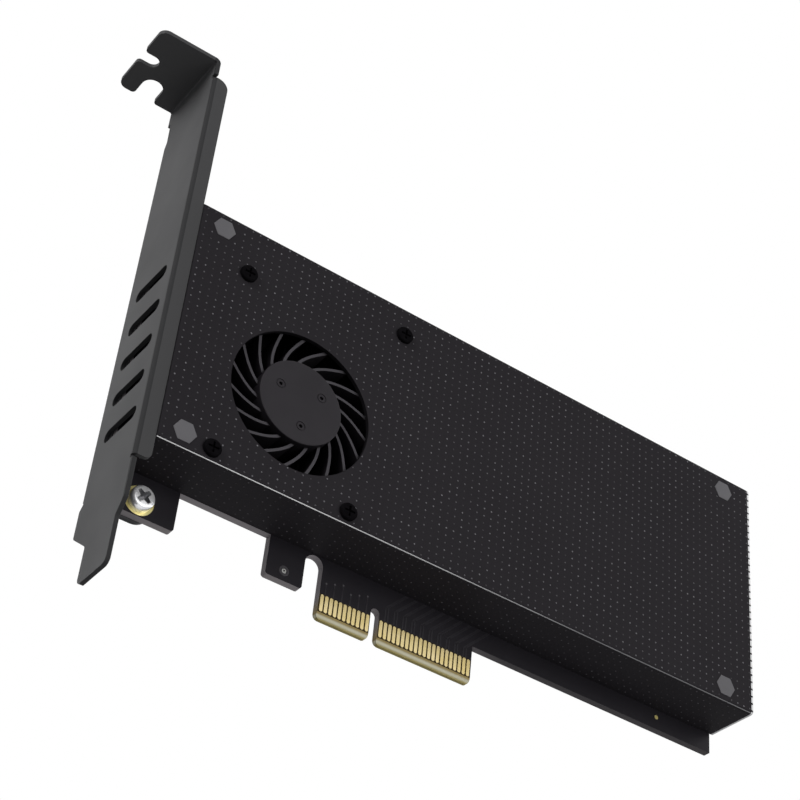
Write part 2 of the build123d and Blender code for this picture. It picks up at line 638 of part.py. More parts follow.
def blade_sketch():
    """One swept blade, drawn in X and Z round the fan's centre."""
    root_r = HUB_RADIUS - HUB_WALL / 2
    sides = []
    for offset in (-BLADE_THICK / 2, BLADE_THICK / 2):
        points = []
        for i in range(4):
            share = i / 3
            r = root_r + (BLADE_TIP_RADIUS - root_r) * share
            sweep = radians(-BLADE_SWEEP * (1 - (1 - share) ** BLADE_CURVE))
            side_turn = offset / r
            points.append((r * cos(sweep + side_turn), r * sin(sweep + side_turn)))
        sides.append(points)
    left = Spline(*sides[0])
    right = Spline(*sides[1])
    root = Line(sides[0][0], sides[1][0])
    tip = Line(sides[0][-1], sides[1][-1])
    return make_face(left + right + root + tip)


def impeller():
    """Hub cup with nineteen swept blades, moulded as one piece."""
    hub = rod(FAN_X, FAN_Z, HUB_RADIUS, BLADE_BACK_Y, HUB_FACE_Y)
    hub = fillet(hub.faces().sort_by(Axis.Y)[0].edges(), HUB_EDGE)
    hub -= rod(FAN_X, FAN_Z, HUB_RADIUS - HUB_WALL, BLADE_BACK_Y + 1, HUB_FACE_Y + HUB_FACE_THICK)
    seat_r = SHAFT_RADIUS + SHAFT_SEAT_WALL
    hub += rod(FAN_X, FAN_Z, seat_r, HUB_FACE_Y + SHAFT_SEAT_DEPTH, HUB_FACE_Y + HUB_FACE_THICK / 2)
    hub -= rod(FAN_X, FAN_Z, SHAFT_RADIUS + PRESS_GAP, BLADE_BACK_Y, HUB_FACE_Y + SHAFT_END_DEPTH)
    groove = Circle(DIMPLE_GROOVE_R) - Circle(DIMPLE_GROOVE_R - DIMPLE_GROOVE_WIDTH)
    for i in range(DIMPLE_COUNT):
        angle = radians(DIMPLE_FIRST_ANGLE + i * 360 / DIMPLE_COUNT)
        x = FAN_X + DIMPLE_RING * cos(angle)
        z = FAN_Z + DIMPLE_RING * sin(angle)
        hub -= rod(x, z, DIMPLE_RADIUS, HUB_FACE_Y + DIMPLE_DEPTH, HUB_FACE_Y - 1)
        hub -= slab(Pos(x, z) * groove, HUB_FACE_Y + DIMPLE_GROOVE_DEPTH, HUB_FACE_Y - 1)
    blade = blade_sketch()
    for i in range(BLADE_COUNT):
        turned = Pos(FAN_X, FAN_Z) * Rot(0, 0, BLADE_PHASE + i * 360 / BLADE_COUNT) * blade
        hub += slab(turned, BLADE_BACK_Y, BLADE_FRONT_Y)
    return hub


def rotor_shaft():
    """Steel shaft pressed into the hub."""
    shaft = rod(FAN_X, FAN_Z, SHAFT_RADIUS, FLOOR_INNER_Y - SHAFT_FLOOR_GAP, HUB_FACE_Y + SHAFT_END_DEPTH)
    ends = shaft.edges().filter_by(GeomType.CIRCLE)
    return chamfer(ends, SHAFT_RADIUS / 5)


def rotor_magnet():
    """Ring magnet lining the hub cup."""
    ring = Circle(MAGNET_RADIUS) - Circle(MAGNET_RADIUS - MAGNET_WALL)
    return slab(Pos(FAN_X, FAN_Z) * ring, MAGNET_BACK_Y, MAGNET_BACK_Y - MAGNET_HEIGHT)


def stator_core():
    """Laminated core with T-shaped poles round the boss."""
    ring = Circle(BOSS_RADIUS + FIT_GAP + 0.7) - Circle(BOSS_RADIUS + FIT_GAP)
    shoe_ring = Circle(STATOR_RADIUS) - Circle(STATOR_RADIUS - POLE_SHOE)
    shoe_half = radians(POLE_SHOE_ANGLE / 2)
    far = STATOR_RADIUS * 2
    for i in range(STATOR_POLES):
        turn = Rot(0, 0, i * 360 / STATOR_POLES)
        neck_low = BOSS_RADIUS + FIT_GAP + 0.3
        neck_high = STATOR_RADIUS - POLE_SHOE / 2
        neck = rectangle(neck_low, neck_high, -POLE_NECK / 2, POLE_NECK / 2)
        corner = (far * cos(shoe_half), far * sin(shoe_half))
        wedge = make_face(Polyline((0, 0), corner, (corner[0], -corner[1]), close=True))
        ring += turn * neck
        ring += turn * (shoe_ring & wedge)
    half = STATOR_HEIGHT / 2
    return slab(Pos(FAN_X, FAN_Z) * ring, MOTOR_MIDDLE_Y + half, MOTOR_MIDDLE_Y - half)


def stator_coils():
    """One winding round each pole's neck."""
    coils = []
    low = BOSS_RADIUS + FIT_GAP + 0.8
    half_width = POLE_NECK / 2 + COIL_WIDTH
    high = sqrt((STATOR_RADIUS - POLE_SHOE) ** 2 - half_width**2) - FIT_GAP
    length = high - low
    for i in range(STATOR_POLES):
        outer = Box(length, STATOR_HEIGHT + 2 * COIL_WIDTH, POLE_NECK + 2 * COIL_WIDTH)
        outer = fillet(outer.edges().filter_by(Axis.X), COIL_WIDTH * 0.8)
        hole = Box(length + 1, STATOR_HEIGHT + 2 * FIT_GAP, POLE_NECK + 2 * FIT_GAP)
        coil = Pos((low + high) / 2, 0, 0) * (outer - hole)
        coils.append(Pos(FAN_X, MOTOR_MIDDLE_Y, FAN_Z) * Rot(0, i * 360 / STATOR_POLES, 0) * coil)
    return Compound(children=coils)


def bearing_sleeve():
    """Sintered sleeve bearing pressed into the housing's boss."""
    ring = Circle(SLEEVE_RADIUS) - Circle(SHAFT_RADIUS + SHAFT_CLEARANCE)
    back_y = FLOOR_INNER_Y + SLEEVE_SINK - SLEEVE_END_GAP
    sleeve = slab(Pos(FAN_X, FAN_Z) * ring, back_y, BOSS_FRONT_Y - SLEEVE_PROUD)
    return chamfer(sleeve.faces().sort_by(Axis.Y)[0].outer_wire().edges(), 0.2)


def motor_board():
    """Small round board on the housing's floor, under the stator."""
    ring = Circle(STATOR_RADIUS) - Circle(BOSS_RADIUS + FIT_GAP)
    back_y = FLOOR_INNER_Y - FIT_GAP
    return slab(Pos(FAN_X, FAN_Z) * ring, back_y, back_y - MOTOR_BOARD_THICK)


def fan_screws():
    """Four black pan-head screws through the cover into the housing's ears."""
    screws = []
    for x, z in FAN_SCREW_PLACES:
        reach = COVER_SHEET + FAN_SCREW_REACH
        screws.append(front_screw(x, z, FAN_HEAD_R, FAN_HEAD_H, FAN_SCREW_R, COVER_FRONT_Y, reach))
    return Compound(children=screws)


def wire_x(i):
    """X of one wire, pin or plug way."""
    return HEADER_X + (i - (WIRE_COUNT - 1) / 2) * WIRE_PITCH


def lead_y():
    """Height of the lead, in the middle of the housing's floor."""
    return (FLOOR_INNER_Y + FLOOR_BACK_Y) / 2


def fan_lead():
    """Three short wires in the floor's channel, from the motor board to the plug."""
    wires = []
    for i in range(WIRE_COUNT):
        low_z = FAN_Z + BOSS_RADIUS + 1.2
        path_plane = Plane(origin=(wire_x(i), lead_y(), low_z), z_dir=(0, 0, 1))
        wires.append(extrude(path_plane * Circle(WIRE_RADIUS), HEADER_Z - PLUG_OUTSIDE - low_z))
    return Compound(children=wires)


def fan_plug():
    """Plug block on the lead's end, inside the header."""
    inner_width = HEADER_WIDTH - 2 * HEADER_WALL - 2 * FIT_GAP
    inner_height = HEADER_HEIGHT - 2 * HEADER_WALL - 2 * FIT_GAP
    middle = header_middle_y()
    low_z = HEADER_Z - PLUG_OUTSIDE
    high_z = HEADER_Z + HEADER_DEPTH - HEADER_WALL - 0.5
    plug = block(
        HEADER_X - inner_width / 2, HEADER_X + inner_width / 2,
        middle - inner_height / 2, middle + inner_height / 2, low_z, high_z,
    )
    plug = chamfer(plug.faces().sort_by(Axis.Z)[0].edges(), 0.25)
    for i in range(WIRE_COUNT):
        hole = PIN_SIZE / 2 + FIT_GAP
        plug -= block(
            wire_x(i) - hole, wire_x(i) + hole, middle - hole, middle + hole, low_z + 1.0, high_z + 1
        )
    return plug


def header_middle_y():
    """Middle height of the header's mouth."""
    return BOARD_FRONT_Y - HEADER_HEIGHT / 2


def fan_header():
    """Low side-entry header on the board."""
    middle = header_middle_y()
    half_w = HEADER_WIDTH / 2
    body = block(
        HEADER_X - half_w, HEADER_X + half_w,
        BOARD_FRONT_Y - HEADER_HEIGHT, BOARD_FRONT_Y, HEADER_Z, HEADER_Z + HEADER_DEPTH,
    )
    inner_half = HEADER_HEIGHT / 2 - HEADER_WALL
    body -= block(
        HEADER_X - half_w + HEADER_WALL, HEADER_X + half_w - HEADER_WALL,
        middle - inner_half, middle + inner_half, HEADER_Z - 1, HEADER_Z + HEADER_DEPTH - HEADER_WALL,
    )
    for i in range(WIRE_COUNT):
        hole = PIN_SIZE / 2 + FIT_GAP
        body -= block(
            wire_x(i) - hole, wire_x(i) + hole, middle - hole, middle + hole,
            HEADER_Z + HEADER_DEPTH - HEADER_WALL - 1, HEADER_Z + HEADER_DEPTH + 1,
        )
    return body


def header_pins():
    """Bent pins from the header's mouth down to the board behind it."""
    pins = []
    middle = header_middle_y()
    half = PIN_SIZE / 2
    back_z = HEADER_Z + HEADER_DEPTH + 0.1
    for i in range(WIRE_COUNT):
        x = wire_x(i)
        along = block(x - half, x + half, middle - half, middle + half, HEADER_Z + 1.0, back_z + PIN_SIZE)
        down = block(x - half, x + half, middle - half, BOARD_FRONT_Y, back_z, back_z + PIN_SIZE)
        pins.append(along + down)
    return Compound(children=pins)


def ssd_socket():
    """Card-edge socket for a storage module, open towards +X."""
    low_z = SOCKET_MIDDLE_Z - SOCKET_WIDTH / 2
    high_z = SOCKET_MIDDLE_Z + SOCKET_WIDTH / 2
    back_x = SOCKET_SEAT_X - (SOCKET_DEPTH - MODULE_SLOT_DEPTH)
    front_x = SOCKET_SEAT_X + MODULE_SLOT_DEPTH
    body = block(back_x, front_x, BOARD_FRONT_Y - SOCKET_HEIGHT, BOARD_FRONT_Y, low_z, high_z)
    body = chamfer(body.faces().sort_by(Axis.Y)[0].edges(), 0.3)
    slot_y = BOARD_FRONT_Y - MODULE_LIFT
    slot_low = SOCKET_MIDDLE_Z - MODULE_SLOT_WIDTH / 2
    slot_high = SOCKET_MIDDLE_Z + MODULE_SLOT_WIDTH / 2
    slot = block(
        SOCKET_SEAT_X, front_x + 1, slot_y - MODULE_SLOT_HEIGHT, slot_y, slot_low, slot_high
    )
    key_z = SOCKET_MIDDLE_Z + MODULE_KEY_OFFSET
    slot -= block(
        SOCKET_SEAT_X - 1, front_x + 2, slot_y - 2 * MODULE_SLOT_HEIGHT, slot_y + 1,
        key_z - MODULE_KEY_WIDTH / 2, key_z + MODULE_KEY_WIDTH / 2,
    )
    return body - slot


def socket_tails():
    """Row of flat solder tails behind the socket."""
    tails = []
    back_x = SOCKET_SEAT_X - (SOCKET_DEPTH - MODULE_SLOT_DEPTH)
    first_z = SOCKET_MIDDLE_Z - (TAIL_COUNT - 1) * TAIL_PITCH / 2
    for i in range(TAIL_COUNT):
        z = first_z + i * TAIL_PITCH
        tails.append(
            block(
                back_x - TAIL_LENGTH, back_x, BOARD_FRONT_Y - TAIL_THICK, BOARD_FRONT_Y,
                z - TAIL_WIDTH / 2, z + TAIL_WIDTH / 2,
            )
        )
    return Compound(children=tails)


def ssd_posts():
    """Soldered threaded posts, one for each module length."""
    posts = []
    for x, z in POST_PLACES:
        post = rod(x, z, POST_RADIUS, BOARD_FRONT_Y, BOARD_FRONT_Y - MODULE_LIFT)
        post = chamfer(post.faces().sort_by(Axis.Y)[0].edges(), 0.2)
        post += rod(x, z, POST_FLANGE_R, BOARD_FRONT_Y, BOARD_FRONT_Y - POST_FLANGE_H)
        post += rod(x, z, POST_RADIUS - 0.35, BOARD_BACK_Y - 0.1, BOARD_FRONT_Y)
        post -= rod(x, z, POST_BORE_R, BOARD_BACK_Y + 1, BOARD_FRONT_Y - MODULE_LIFT - 1)
        posts.append(post)
    return Compound(children=posts)


def ssd_screw():
    """Small screw kept in the farthest post."""
    x, z = POST_PLACES[-1]
    y_seat = BOARD_FRONT_Y - MODULE_LIFT
    return front_screw(
        x, z, MODULE_SCREW_HEAD_R, MODULE_SCREW_HEAD_H, POST_BORE_R - FIT_GAP, y_seat, MODULE_SCREW_REACH
    )


def voltage_regulator():
    """Eight-lead power chip."""
    width, height, depth = REGULATOR_SIZE
    body = block(
        REGULATOR_X - width / 2, REGULATOR_X + width / 2,
        BOARD_FRONT_Y - height, BOARD_FRONT_Y - REGULATOR_LIFT, POWER_Z - depth / 2, POWER_Z + depth / 2,
    )
    body = chamfer(body.faces().sort_by(Axis.Y)[0].edges(), 0.25)
    half = REGULATOR_LEAD_WIDTH / 2
    leads_y = BOARD_FRONT_Y - REGULATOR_LEAD_THICK
    first_x = REGULATOR_X - (REGULATOR_LEADS - 1) * REGULATOR_LEAD_PITCH / 2
    for i in range(REGULATOR_LEADS):
        x = first_x + i * REGULATOR_LEAD_PITCH
        low_z = POWER_Z - depth / 2 - REGULATOR_LEAD_REACH
        high_z = POWER_Z + depth / 2 + REGULATOR_LEAD_REACH
        body += block(x - half, x + half, leads_y, BOARD_FRONT_Y, low_z, high_z)
    return body


def power_inductor():
    """Square shielded inductor."""
    half = INDUCTOR_SIDE / 2
    body = block(
        INDUCTOR_X - half, INDUCTOR_X + half,
        BOARD_FRONT_Y - INDUCTOR_HEIGHT, BOARD_FRONT_Y, POWER_Z - half, POWER_Z + half,
    )
    body = chamfer(body.edges().filter_by(Axis.Y), 1.0)
    return chamfer(body.faces().sort_by(Axis.Y)[0].edges(), 0.3)


def bulk_capacitors():
    """Round capacitors in their metal cans."""
    cans = []
    for x, z in BULK_CAP_PLACES:
        low_y = BOARD_FRONT_Y - BULK_CAP_BASE_H
        can = rod(x, z, BULK_CAP_RADIUS, low_y, low_y - BULK_CAP_HEIGHT)
        can = fillet(can.faces().sort_by(Axis.Y)[0].edges(), 0.5)
        cans.append(can)
    return Compound(children=cans)


def capacitor_bases():
    """Square moulded bases under the round capacitors."""
    bases = []
    half = BULK_CAP_BASE / 2
    for x, z in BULK_CAP_PLACES:
        base = block(x - half, x + half, BOARD_FRONT_Y - BULK_CAP_BASE_H, BOARD_FRONT_Y, z - half, z + half)
        bases.append(chamfer(base.edges().filter_by(Axis.Y), 0.9))
    return Compound(children=bases)


def chip(x, z, size, along_z):
    """Small rectangular surface-mount part on the board's front."""
    length, height, width = size
    half_x, half_z = (width / 2, length / 2) if along_z else (length / 2, width / 2)
    return block(x - half_x, x + half_x, BOARD_FRONT_Y - height, BOARD_FRONT_Y, z - half_z, z + half_z)


def small_capacitors():
    """Ceramic capacitors: a row above the contacts and some by the power parts."""
    parts = []
    for i in range(CHIP_ROW_COUNT):
        parts.append(chip(CHIP_ROW_X + i * CHIP_ROW_PITCH, CHIP_ROW_Z, CHIP_CAP_SIZE, True))
    for i in range(CHIP_GROUP_COUNT):
        z = POWER_Z + (i - 1) * CHIP_GROUP_PITCH
        parts.append(chip(REGULATOR_X - CHIP_TO_REGULATOR, z, CHIP_CAP_SIZE, False))
    first_x = SOCKET_SEAT_X + 3 * CHIPS_FROM_SOCKET
    for i in range(CHIP_GROUP_COUNT):
        x = first_x + i * CHIP_GROUP_PITCH
        parts.append(chip(x, SOCKET_HIGH_Z + CHIPS_ABOVE_SOCKET, CHIP_CAP_SIZE, True))
    return Compound(children=parts)


def small_resistors():
    """Chip resistors by the indicator lights and the socket."""
    parts = []
    for x, z in LED_PLACES:
        parts.append(chip(x - RESISTOR_TO_LED, z, CHIP_RESISTOR_SIZE, False))
    for i in range(RESISTOR_COUNT):
        x = SOCKET_SEAT_X + CHIPS_FROM_SOCKET + i * RESISTOR_PITCH
        parts.append(chip(x, SOCKET_HIGH_Z + CHIPS_ABOVE_SOCKET, CHIP_RESISTOR_SIZE, True))
    return Compound(children=parts)


def status_leds():
    """Two indicator lights near the far end."""
    lights = []
    for x, z in LED_PLACES:
        light = chip(x, z, LED_SIZE, False)
        lights.append(chamfer(light.faces().sort_by(Axis.Y)[0].edges(), 0.12))
    return Compound(children=lights)


PARTS = {
    "circuit_board": circuit_board,
    "edge_contacts_front": lambda: edge_contacts(-1),
    "edge_contacts_back": lambda: edge_contacts(1),
    "plated_pads": plated_pads,
    "slot_bracket": slot_bracket,
    "bracket_screws": bracket_screws,
    "fan_cover": fan_cover,
    "cover_standoffs": cover_standoffs,
    "standoff_screws": standoff_screws,
    "blower_housing": blower_housing,
    "impeller": impeller,
    "rotor_shaft": rotor_shaft,
    "rotor_magnet": rotor_magnet,
    "stator_core": stator_core,
    "stator_coils": stator_coils,
    "bearing_sleeve": bearing_sleeve,
    "motor_board": motor_board,
    "fan_screws": fan_screws,
    "fan_lead": fan_lead,
    "fan_plug": fan_plug,
    "fan_header": fan_header,
    "header_pins": header_pins,
    "ssd_socket": ssd_socket,
    "socket_tails": socket_tails,
    "ssd_posts": ssd_posts,
    "ssd_screw": ssd_screw,
    "voltage_regulator": voltage_regulator,
    "power_inductor": power_inductor,
    "bulk_capacitors": bulk_capacitors,
    "capacitor_bases": capacitor_bases,
    "small_capacitors": small_capacitors,
    "small_resistors": small_resistors,
    "status_leds": status_leds,
}

os.makedirs("parts", exist_ok=True)
for name, build in PARTS.items():
    export_step(build(), os.path.join("parts", name + ".step"))
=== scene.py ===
"""Looks of a storage adapter card: finishes, raised dots, board traces, screws and light.

The card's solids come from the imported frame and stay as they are. This script gives each of
them its finish, adds the fine forms that the solids leave out, and sets the floor, the lamps
and the camera. Sizes in the classes are millimetres unless a name says otherwise.
"""
import logging
import math
from dataclasses import dataclass
from enum import Enum
from typing import Any, Iterable, Optional

import bmesh
import bpy
from mathutils import Matrix, Vector

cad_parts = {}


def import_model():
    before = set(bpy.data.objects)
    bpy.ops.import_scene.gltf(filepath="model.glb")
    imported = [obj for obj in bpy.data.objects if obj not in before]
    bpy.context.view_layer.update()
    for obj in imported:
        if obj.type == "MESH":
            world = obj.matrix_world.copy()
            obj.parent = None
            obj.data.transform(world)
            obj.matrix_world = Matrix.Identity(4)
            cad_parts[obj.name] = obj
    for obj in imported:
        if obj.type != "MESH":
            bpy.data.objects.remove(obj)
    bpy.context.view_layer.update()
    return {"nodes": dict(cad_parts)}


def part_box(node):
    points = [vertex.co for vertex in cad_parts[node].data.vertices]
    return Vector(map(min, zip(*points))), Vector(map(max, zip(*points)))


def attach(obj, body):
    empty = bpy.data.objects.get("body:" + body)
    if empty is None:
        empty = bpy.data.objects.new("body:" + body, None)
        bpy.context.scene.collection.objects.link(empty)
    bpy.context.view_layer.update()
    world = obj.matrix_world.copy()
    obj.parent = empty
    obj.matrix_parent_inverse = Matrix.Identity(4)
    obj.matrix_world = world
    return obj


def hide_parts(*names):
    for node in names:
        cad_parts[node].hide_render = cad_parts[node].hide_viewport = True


LOG = logging.getLogger("adapter_card")
MM = 0.001
CARD = "card"
# Where the fan's axis is along X and Z, and the radius of the inlet round it, in millimetres
FAN_AXIS = (-28.0, 33.55)
INLET_RADIUS = 14.8
# Pitch of the cover's embossing and thickness of the bracket's sheet, in millimetres
DOT_PITCH = 1.65
BRACKET_SHEET = 0.86
# Points nearer than this, in metres, are one point
TOUCHING = 1e-7
# Further than anything in the scene, in metres, for a limit that is left open
FAR = 1000.0


class Grain(Enum):
    """How a finish's surface was made, which sets the form of its fine grain."""

    POWDER = "powder"
    MOULDED = "moulded"
    ROLLED = "rolled"
    SMOOTH = "smooth"


class Kind(Enum):
    """The nodes that the materials and the background are made of."""

    BACKGROUND = "ShaderNodeBackground"
    BUMP = "ShaderNodeBump"
    CELLS = "ShaderNodeTexVoronoi"
    CHECKER = "ShaderNodeTexChecker"
    GEOMETRY = "ShaderNodeNewGeometry"
    MAPPING = "ShaderNodeMapping"
    MATH = "ShaderNodeMath"
    MIX = "ShaderNodeMix"
    MIX_SHADER = "ShaderNodeMixShader"
    NOISE = "ShaderNodeTexNoise"
    PLACE = "ShaderNodeTexCoord"
    RANGE = "ShaderNodeMapRange"
    RAYS = "ShaderNodeLightPath"
    SPLIT = "ShaderNodeSeparateXYZ"
    TURN = "ShaderNodeVectorTransform"
    VECTOR = "ShaderNodeVectorMath"
    WORLD = "ShaderNodeOutputWorld"


def linear(hex_colour: str) -> tuple[float, float, float, float]:
    """Turn an sRGB hex colour into linear values.

    Args:
        hex_colour: Six hex digits with a leading mark, such as "#202124".

    Returns:
        Red, green, blue and an alpha of one, as linear numbers.
    """
    channels = []
    for start in (1, 3, 5):
        value = int(hex_colour[start:start + 2], 16) / 255
        channels.append(value / 12.92 if value <= 0.04045 else ((value + 0.055) / 1.055) ** 2.4)
    return (channels[0], channels[1], channels[2], 1.0)


def add_node(
    tree: bpy.types.NodeTree,
    kind: Kind,
    settings: Optional[dict[str, Any]] = None,
    inputs: Optional[dict[Any, Any]] = None,
) -> bpy.types.Node:
    """Add one node with its settings, and with a link or a value for each input.

    Args:
        tree: Node tree that gets the node.
        kind: Which node it is.
        settings: Names of its settings with their values.
        inputs: Input names or numbers, with the output socket that feeds them or else a value.

    Returns:
        The new node.
    """
    node = tree.nodes.new(kind.value)
    for name, value in (settings or {}).items():
        setattr(node, name, value)
    for name, source in (inputs or {}).items():
        if isinstance(source, bpy.types.NodeSocket):
            tree.links.new(source, node.inputs[name])
        else:
            node.inputs[name].default_value = source
    return node


def new_material(title: str) -> tuple[bpy.types.Material, bpy.types.Node]:
    """Make a material with its shader and nothing linked yet.

    Args:
        title: Name of the material.

    Returns:
        The material and its shader node.
    """
    material = bpy.data.materials.new(title)
    material.use_nodes = True
    return material, next(n for n in material.node_tree.nodes if n.type == "BSDF_PRINCIPLED")


def between(
    tree: bpy.types.NodeTree, value: bpy.types.NodeSocket, low: float = -FAR, high: float = FAR
) -> bpy.types.NodeSocket:
    """Make the mask of where a value lies between two limits.

    Args:
        tree: Node tree of the material.
        value: The value.
        low: Lower limit, which may be left open.
        high: Upper limit, which may be left open.

    Returns:
        A socket that is one between the limits.
    """
    above = add_node(tree, Kind.MATH, {"operation": "GREATER_THAN"}, {0: value, 1: low})
    below = add_node(tree, Kind.MATH, {"operation": "LESS_THAN"}, {0: value, 1: high})
    sides = {0: above.outputs[0], 1: below.outputs[0]}
    return add_node(tree, Kind.MATH, {"operation": "MULTIPLY"}, sides).outputs[0]


def layered(
    tree: bpy.types.NodeTree, base: Any, layers: Iterable[tuple[Any, Any]]
) -> bpy.types.NodeSocket:
    """Lay colours over a base, one after another, each as far as its mask says.

    Args:
        tree: Node tree of the material.
        base: Colour or socket at the bottom.
        layers: Masks, each with the colour or socket that shows where it is one.

    Returns:
        The socket with the colour that shows in the end.
    """
    shown = base
    for mask, colour in layers:
        mix = add_node(tree, Kind.MIX, {"data_type": "RGBA"}, {0: mask, 6: shown, 7: colour})
        shown = mix.outputs[2]
    return shown


@dataclass(frozen=True)
class Finish:
    """A plain finish: one colour with slow variation, gloss and a fine grain.

    Attributes:
        title: Name of the material and of how its surface was made.
        colour: Main sRGB colour.
        second: Colour that the slow variation drifts to.
        roughness: Roughness of the surface.
        roughness_spread: How far the roughness drifts either way.
        metallic: One for a bare metal.
        specular: Strength of the reflection of a surface that is no metal.
        grain: How the surface was made.
        grain_mm: Size of the grain.
        depth_mm: Height of the grain.
        cloud_mm: Size of the slow variation.
        cloud_limits: Part of the variation's noise that is spread over the whole drift.
        cloud_detail: Finer layers in the variation.
        cloud_roughness: Weight of those layers.
        rolled_scale: Scale of a rolled grain along the sheet, against its scale across.
        bump_strength: How strongly the grain turns the light.
        coat: Strength of a clear coat.
    """

    title: str
    colour: str
    second: str
    roughness: float
    roughness_spread: float = 0.05
    metallic: float = 0.0
    specular: float = 0.5
    grain: Grain = Grain.SMOOTH
    grain_mm: float = 0.3
    depth_mm: float = 0.004
    cloud_mm: float = 12.0
    cloud_limits: tuple[float, float] = (0.3, 0.7)
    cloud_detail: float = 3.0
    cloud_roughness: float = 0.6
    rolled_scale: float = 0.06
    bump_strength: float = 0.6
    coat: float = 0.0

    def place(self, tree: bpy.types.NodeTree) -> bpy.types.NodeSocket:
        """Give the object coordinates that every pattern reads."""
        return add_node(tree, Kind.PLACE).outputs["Object"]

    def axes(self, tree: bpy.types.NodeTree) -> bpy.types.bpy_prop_collection:
        """Give the object coordinates taken apart into X, Y and Z."""
        return add_node(tree, Kind.SPLIT, inputs={"Vector": self.place(tree)}).outputs

    def facing(self, tree: bpy.types.NodeTree) -> bpy.types.bpy_prop_collection:
        """Give the direction that each face looks to, in the object's own axes, taken apart.

        Args:
            tree: Node tree of the material.

        Returns:
            The sockets of the direction's X, Y and Z.
        """
        settings = {"vector_type": "NORMAL", "convert_from": "WORLD", "convert_to": "OBJECT"}
        normal = add_node(tree, Kind.GEOMETRY).outputs["True Normal"]
        turned = add_node(tree, Kind.TURN, settings, {"Vector": normal}).outputs["Vector"]
        return add_node(tree, Kind.SPLIT, inputs={"Vector": turned}).outputs

    def near_line(
        self, tree: bpy.types.NodeTree, centre: tuple[Optional[float], ...], reach: float
    ) -> bpy.types.NodeSocket:
        """Make the mask of what lies near a line that runs along one axis.

        Args:
            tree: Node tree of the material.
            centre: Where the line is in metres, with None for the axis that it runs along.
            reach: Largest distance from the line, in metres.

        Returns:
            A socket that is one near the line.
        """
        across = {0: self.place(tree), 1: [0.0 if c is None else 1.0 for c in centre]}
        flat = add_node(tree, Kind.VECTOR, {"operation": "MULTIPLY"}, across)
        ends = {0: flat.outputs["Vector"], 1: [c or 0.0 for c in centre]}
        away = add_node(tree, Kind.VECTOR, {"operation": "DISTANCE"}, ends)
        return between(tree, away.outputs["Value"], high=reach)

    def cloud(self, tree: bpy.types.NodeTree) -> bpy.types.NodeSocket:
        """Make the slow variation, from zero to one.

        Args:
            tree: Node tree of the material.

        Returns:
            The socket with the variation.
        """
        noise = add_node(tree, Kind.NOISE, inputs={
            "Vector": self.place(tree), "Scale": 1 / (self.cloud_mm * MM),
            "Detail": self.cloud_detail, "Roughness": self.cloud_roughness,
        })
        low, high = self.cloud_limits
        limits = {"Value": noise.outputs["Fac"], "From Min": low, "From Max": high}
        return add_node(tree, Kind.RANGE, inputs=limits).outputs["Result"]

    def paint(self, tree: bpy.types.NodeTree) -> bpy.types.NodeSocket:
        """Make the colour, which drifts between the main one and the second."""
        return layered(tree, linear(self.colour), [(self.cloud(tree), linear(self.second))])

    def gloss(self, tree: bpy.types.NodeTree) -> Optional[bpy.types.NodeSocket]:
        """Make the roughness, which drifts as the colour does.

        Args:
            tree: Node tree of the material.

        Returns:
            A socket with the roughness, or None where it is even.
        """
        if not self.roughness_spread:
            return None
        low, high = self.roughness - self.roughness_spread, self.roughness + self.roughness_spread
        limits = {"Value": self.cloud(tree), "To Min": low, "To Max": high}
        return add_node(tree, Kind.RANGE, inputs=limits).outputs["Result"]

    def relief(self, tree: bpy.types.NodeTree) -> Optional[bpy.types.NodeSocket]:
        """Make the height of the fine grain.

        Args:
            tree: Node tree of the material.

        Returns:
            A socket with the height, from zero to one, or None for a surface without grain.
        """
        where = {"Vector": self.place(tree), "Scale": 1 / (self.grain_mm * MM)}
        if self.grain is Grain.MOULDED:
            return add_node(tree, Kind.CELLS, inputs=where).outputs["Distance"]
        if self.grain is Grain.ROLLED:
            stretch = {"Vector": where["Vector"], "Scale": (1.0, 1.0, self.rolled_scale)}
            where["Vector"] = add_node(tree, Kind.MAPPING, inputs=stretch).outputs["Vector"]
        where["Detail"] = 2.0 if self.grain is Grain.POWDER else 1.0
        return add_node(tree, Kind.NOISE, inputs=where).outputs["Fac"]

    def bumps(self, tree: bpy.types.NodeTree) -> Optional[bpy.types.NodeSocket]:
        """Make the normals that the relief turns.

        Args:
            tree: Node tree of the material.

        Returns:
            A socket with the normals, or None for a surface without grain.
        """
        height = self.relief(tree)
        if height is None:
            return None
        inputs = {"Height": height, "Strength": self.bump_strength, "Distance": self.depth_mm * MM}
        return add_node(tree, Kind.BUMP, inputs=inputs).outputs["Normal"]

    def make(self) -> bpy.types.Material:
        """Build the material from its colour, its gloss and its relief.

        Returns:
            The finished material.
        """
        material, shader = new_material(self.title)
        even = {
            "Metallic": self.metallic, "Specular IOR Level": self.specular,
            "Coat Weight": self.coat, "Roughness": self.roughness,
        }
        for name, value in even.items():
            shader.inputs[name].default_value = value
        tree = material.node_tree
        patterns = {
            "Base Color": self.paint(tree), "Roughness": self.gloss(tree), "Normal": self.bumps(tree)
        }
        for name, source in patterns.items():
            if source is not None:
                tree.links.new(source, shader.inputs[name])
        return material


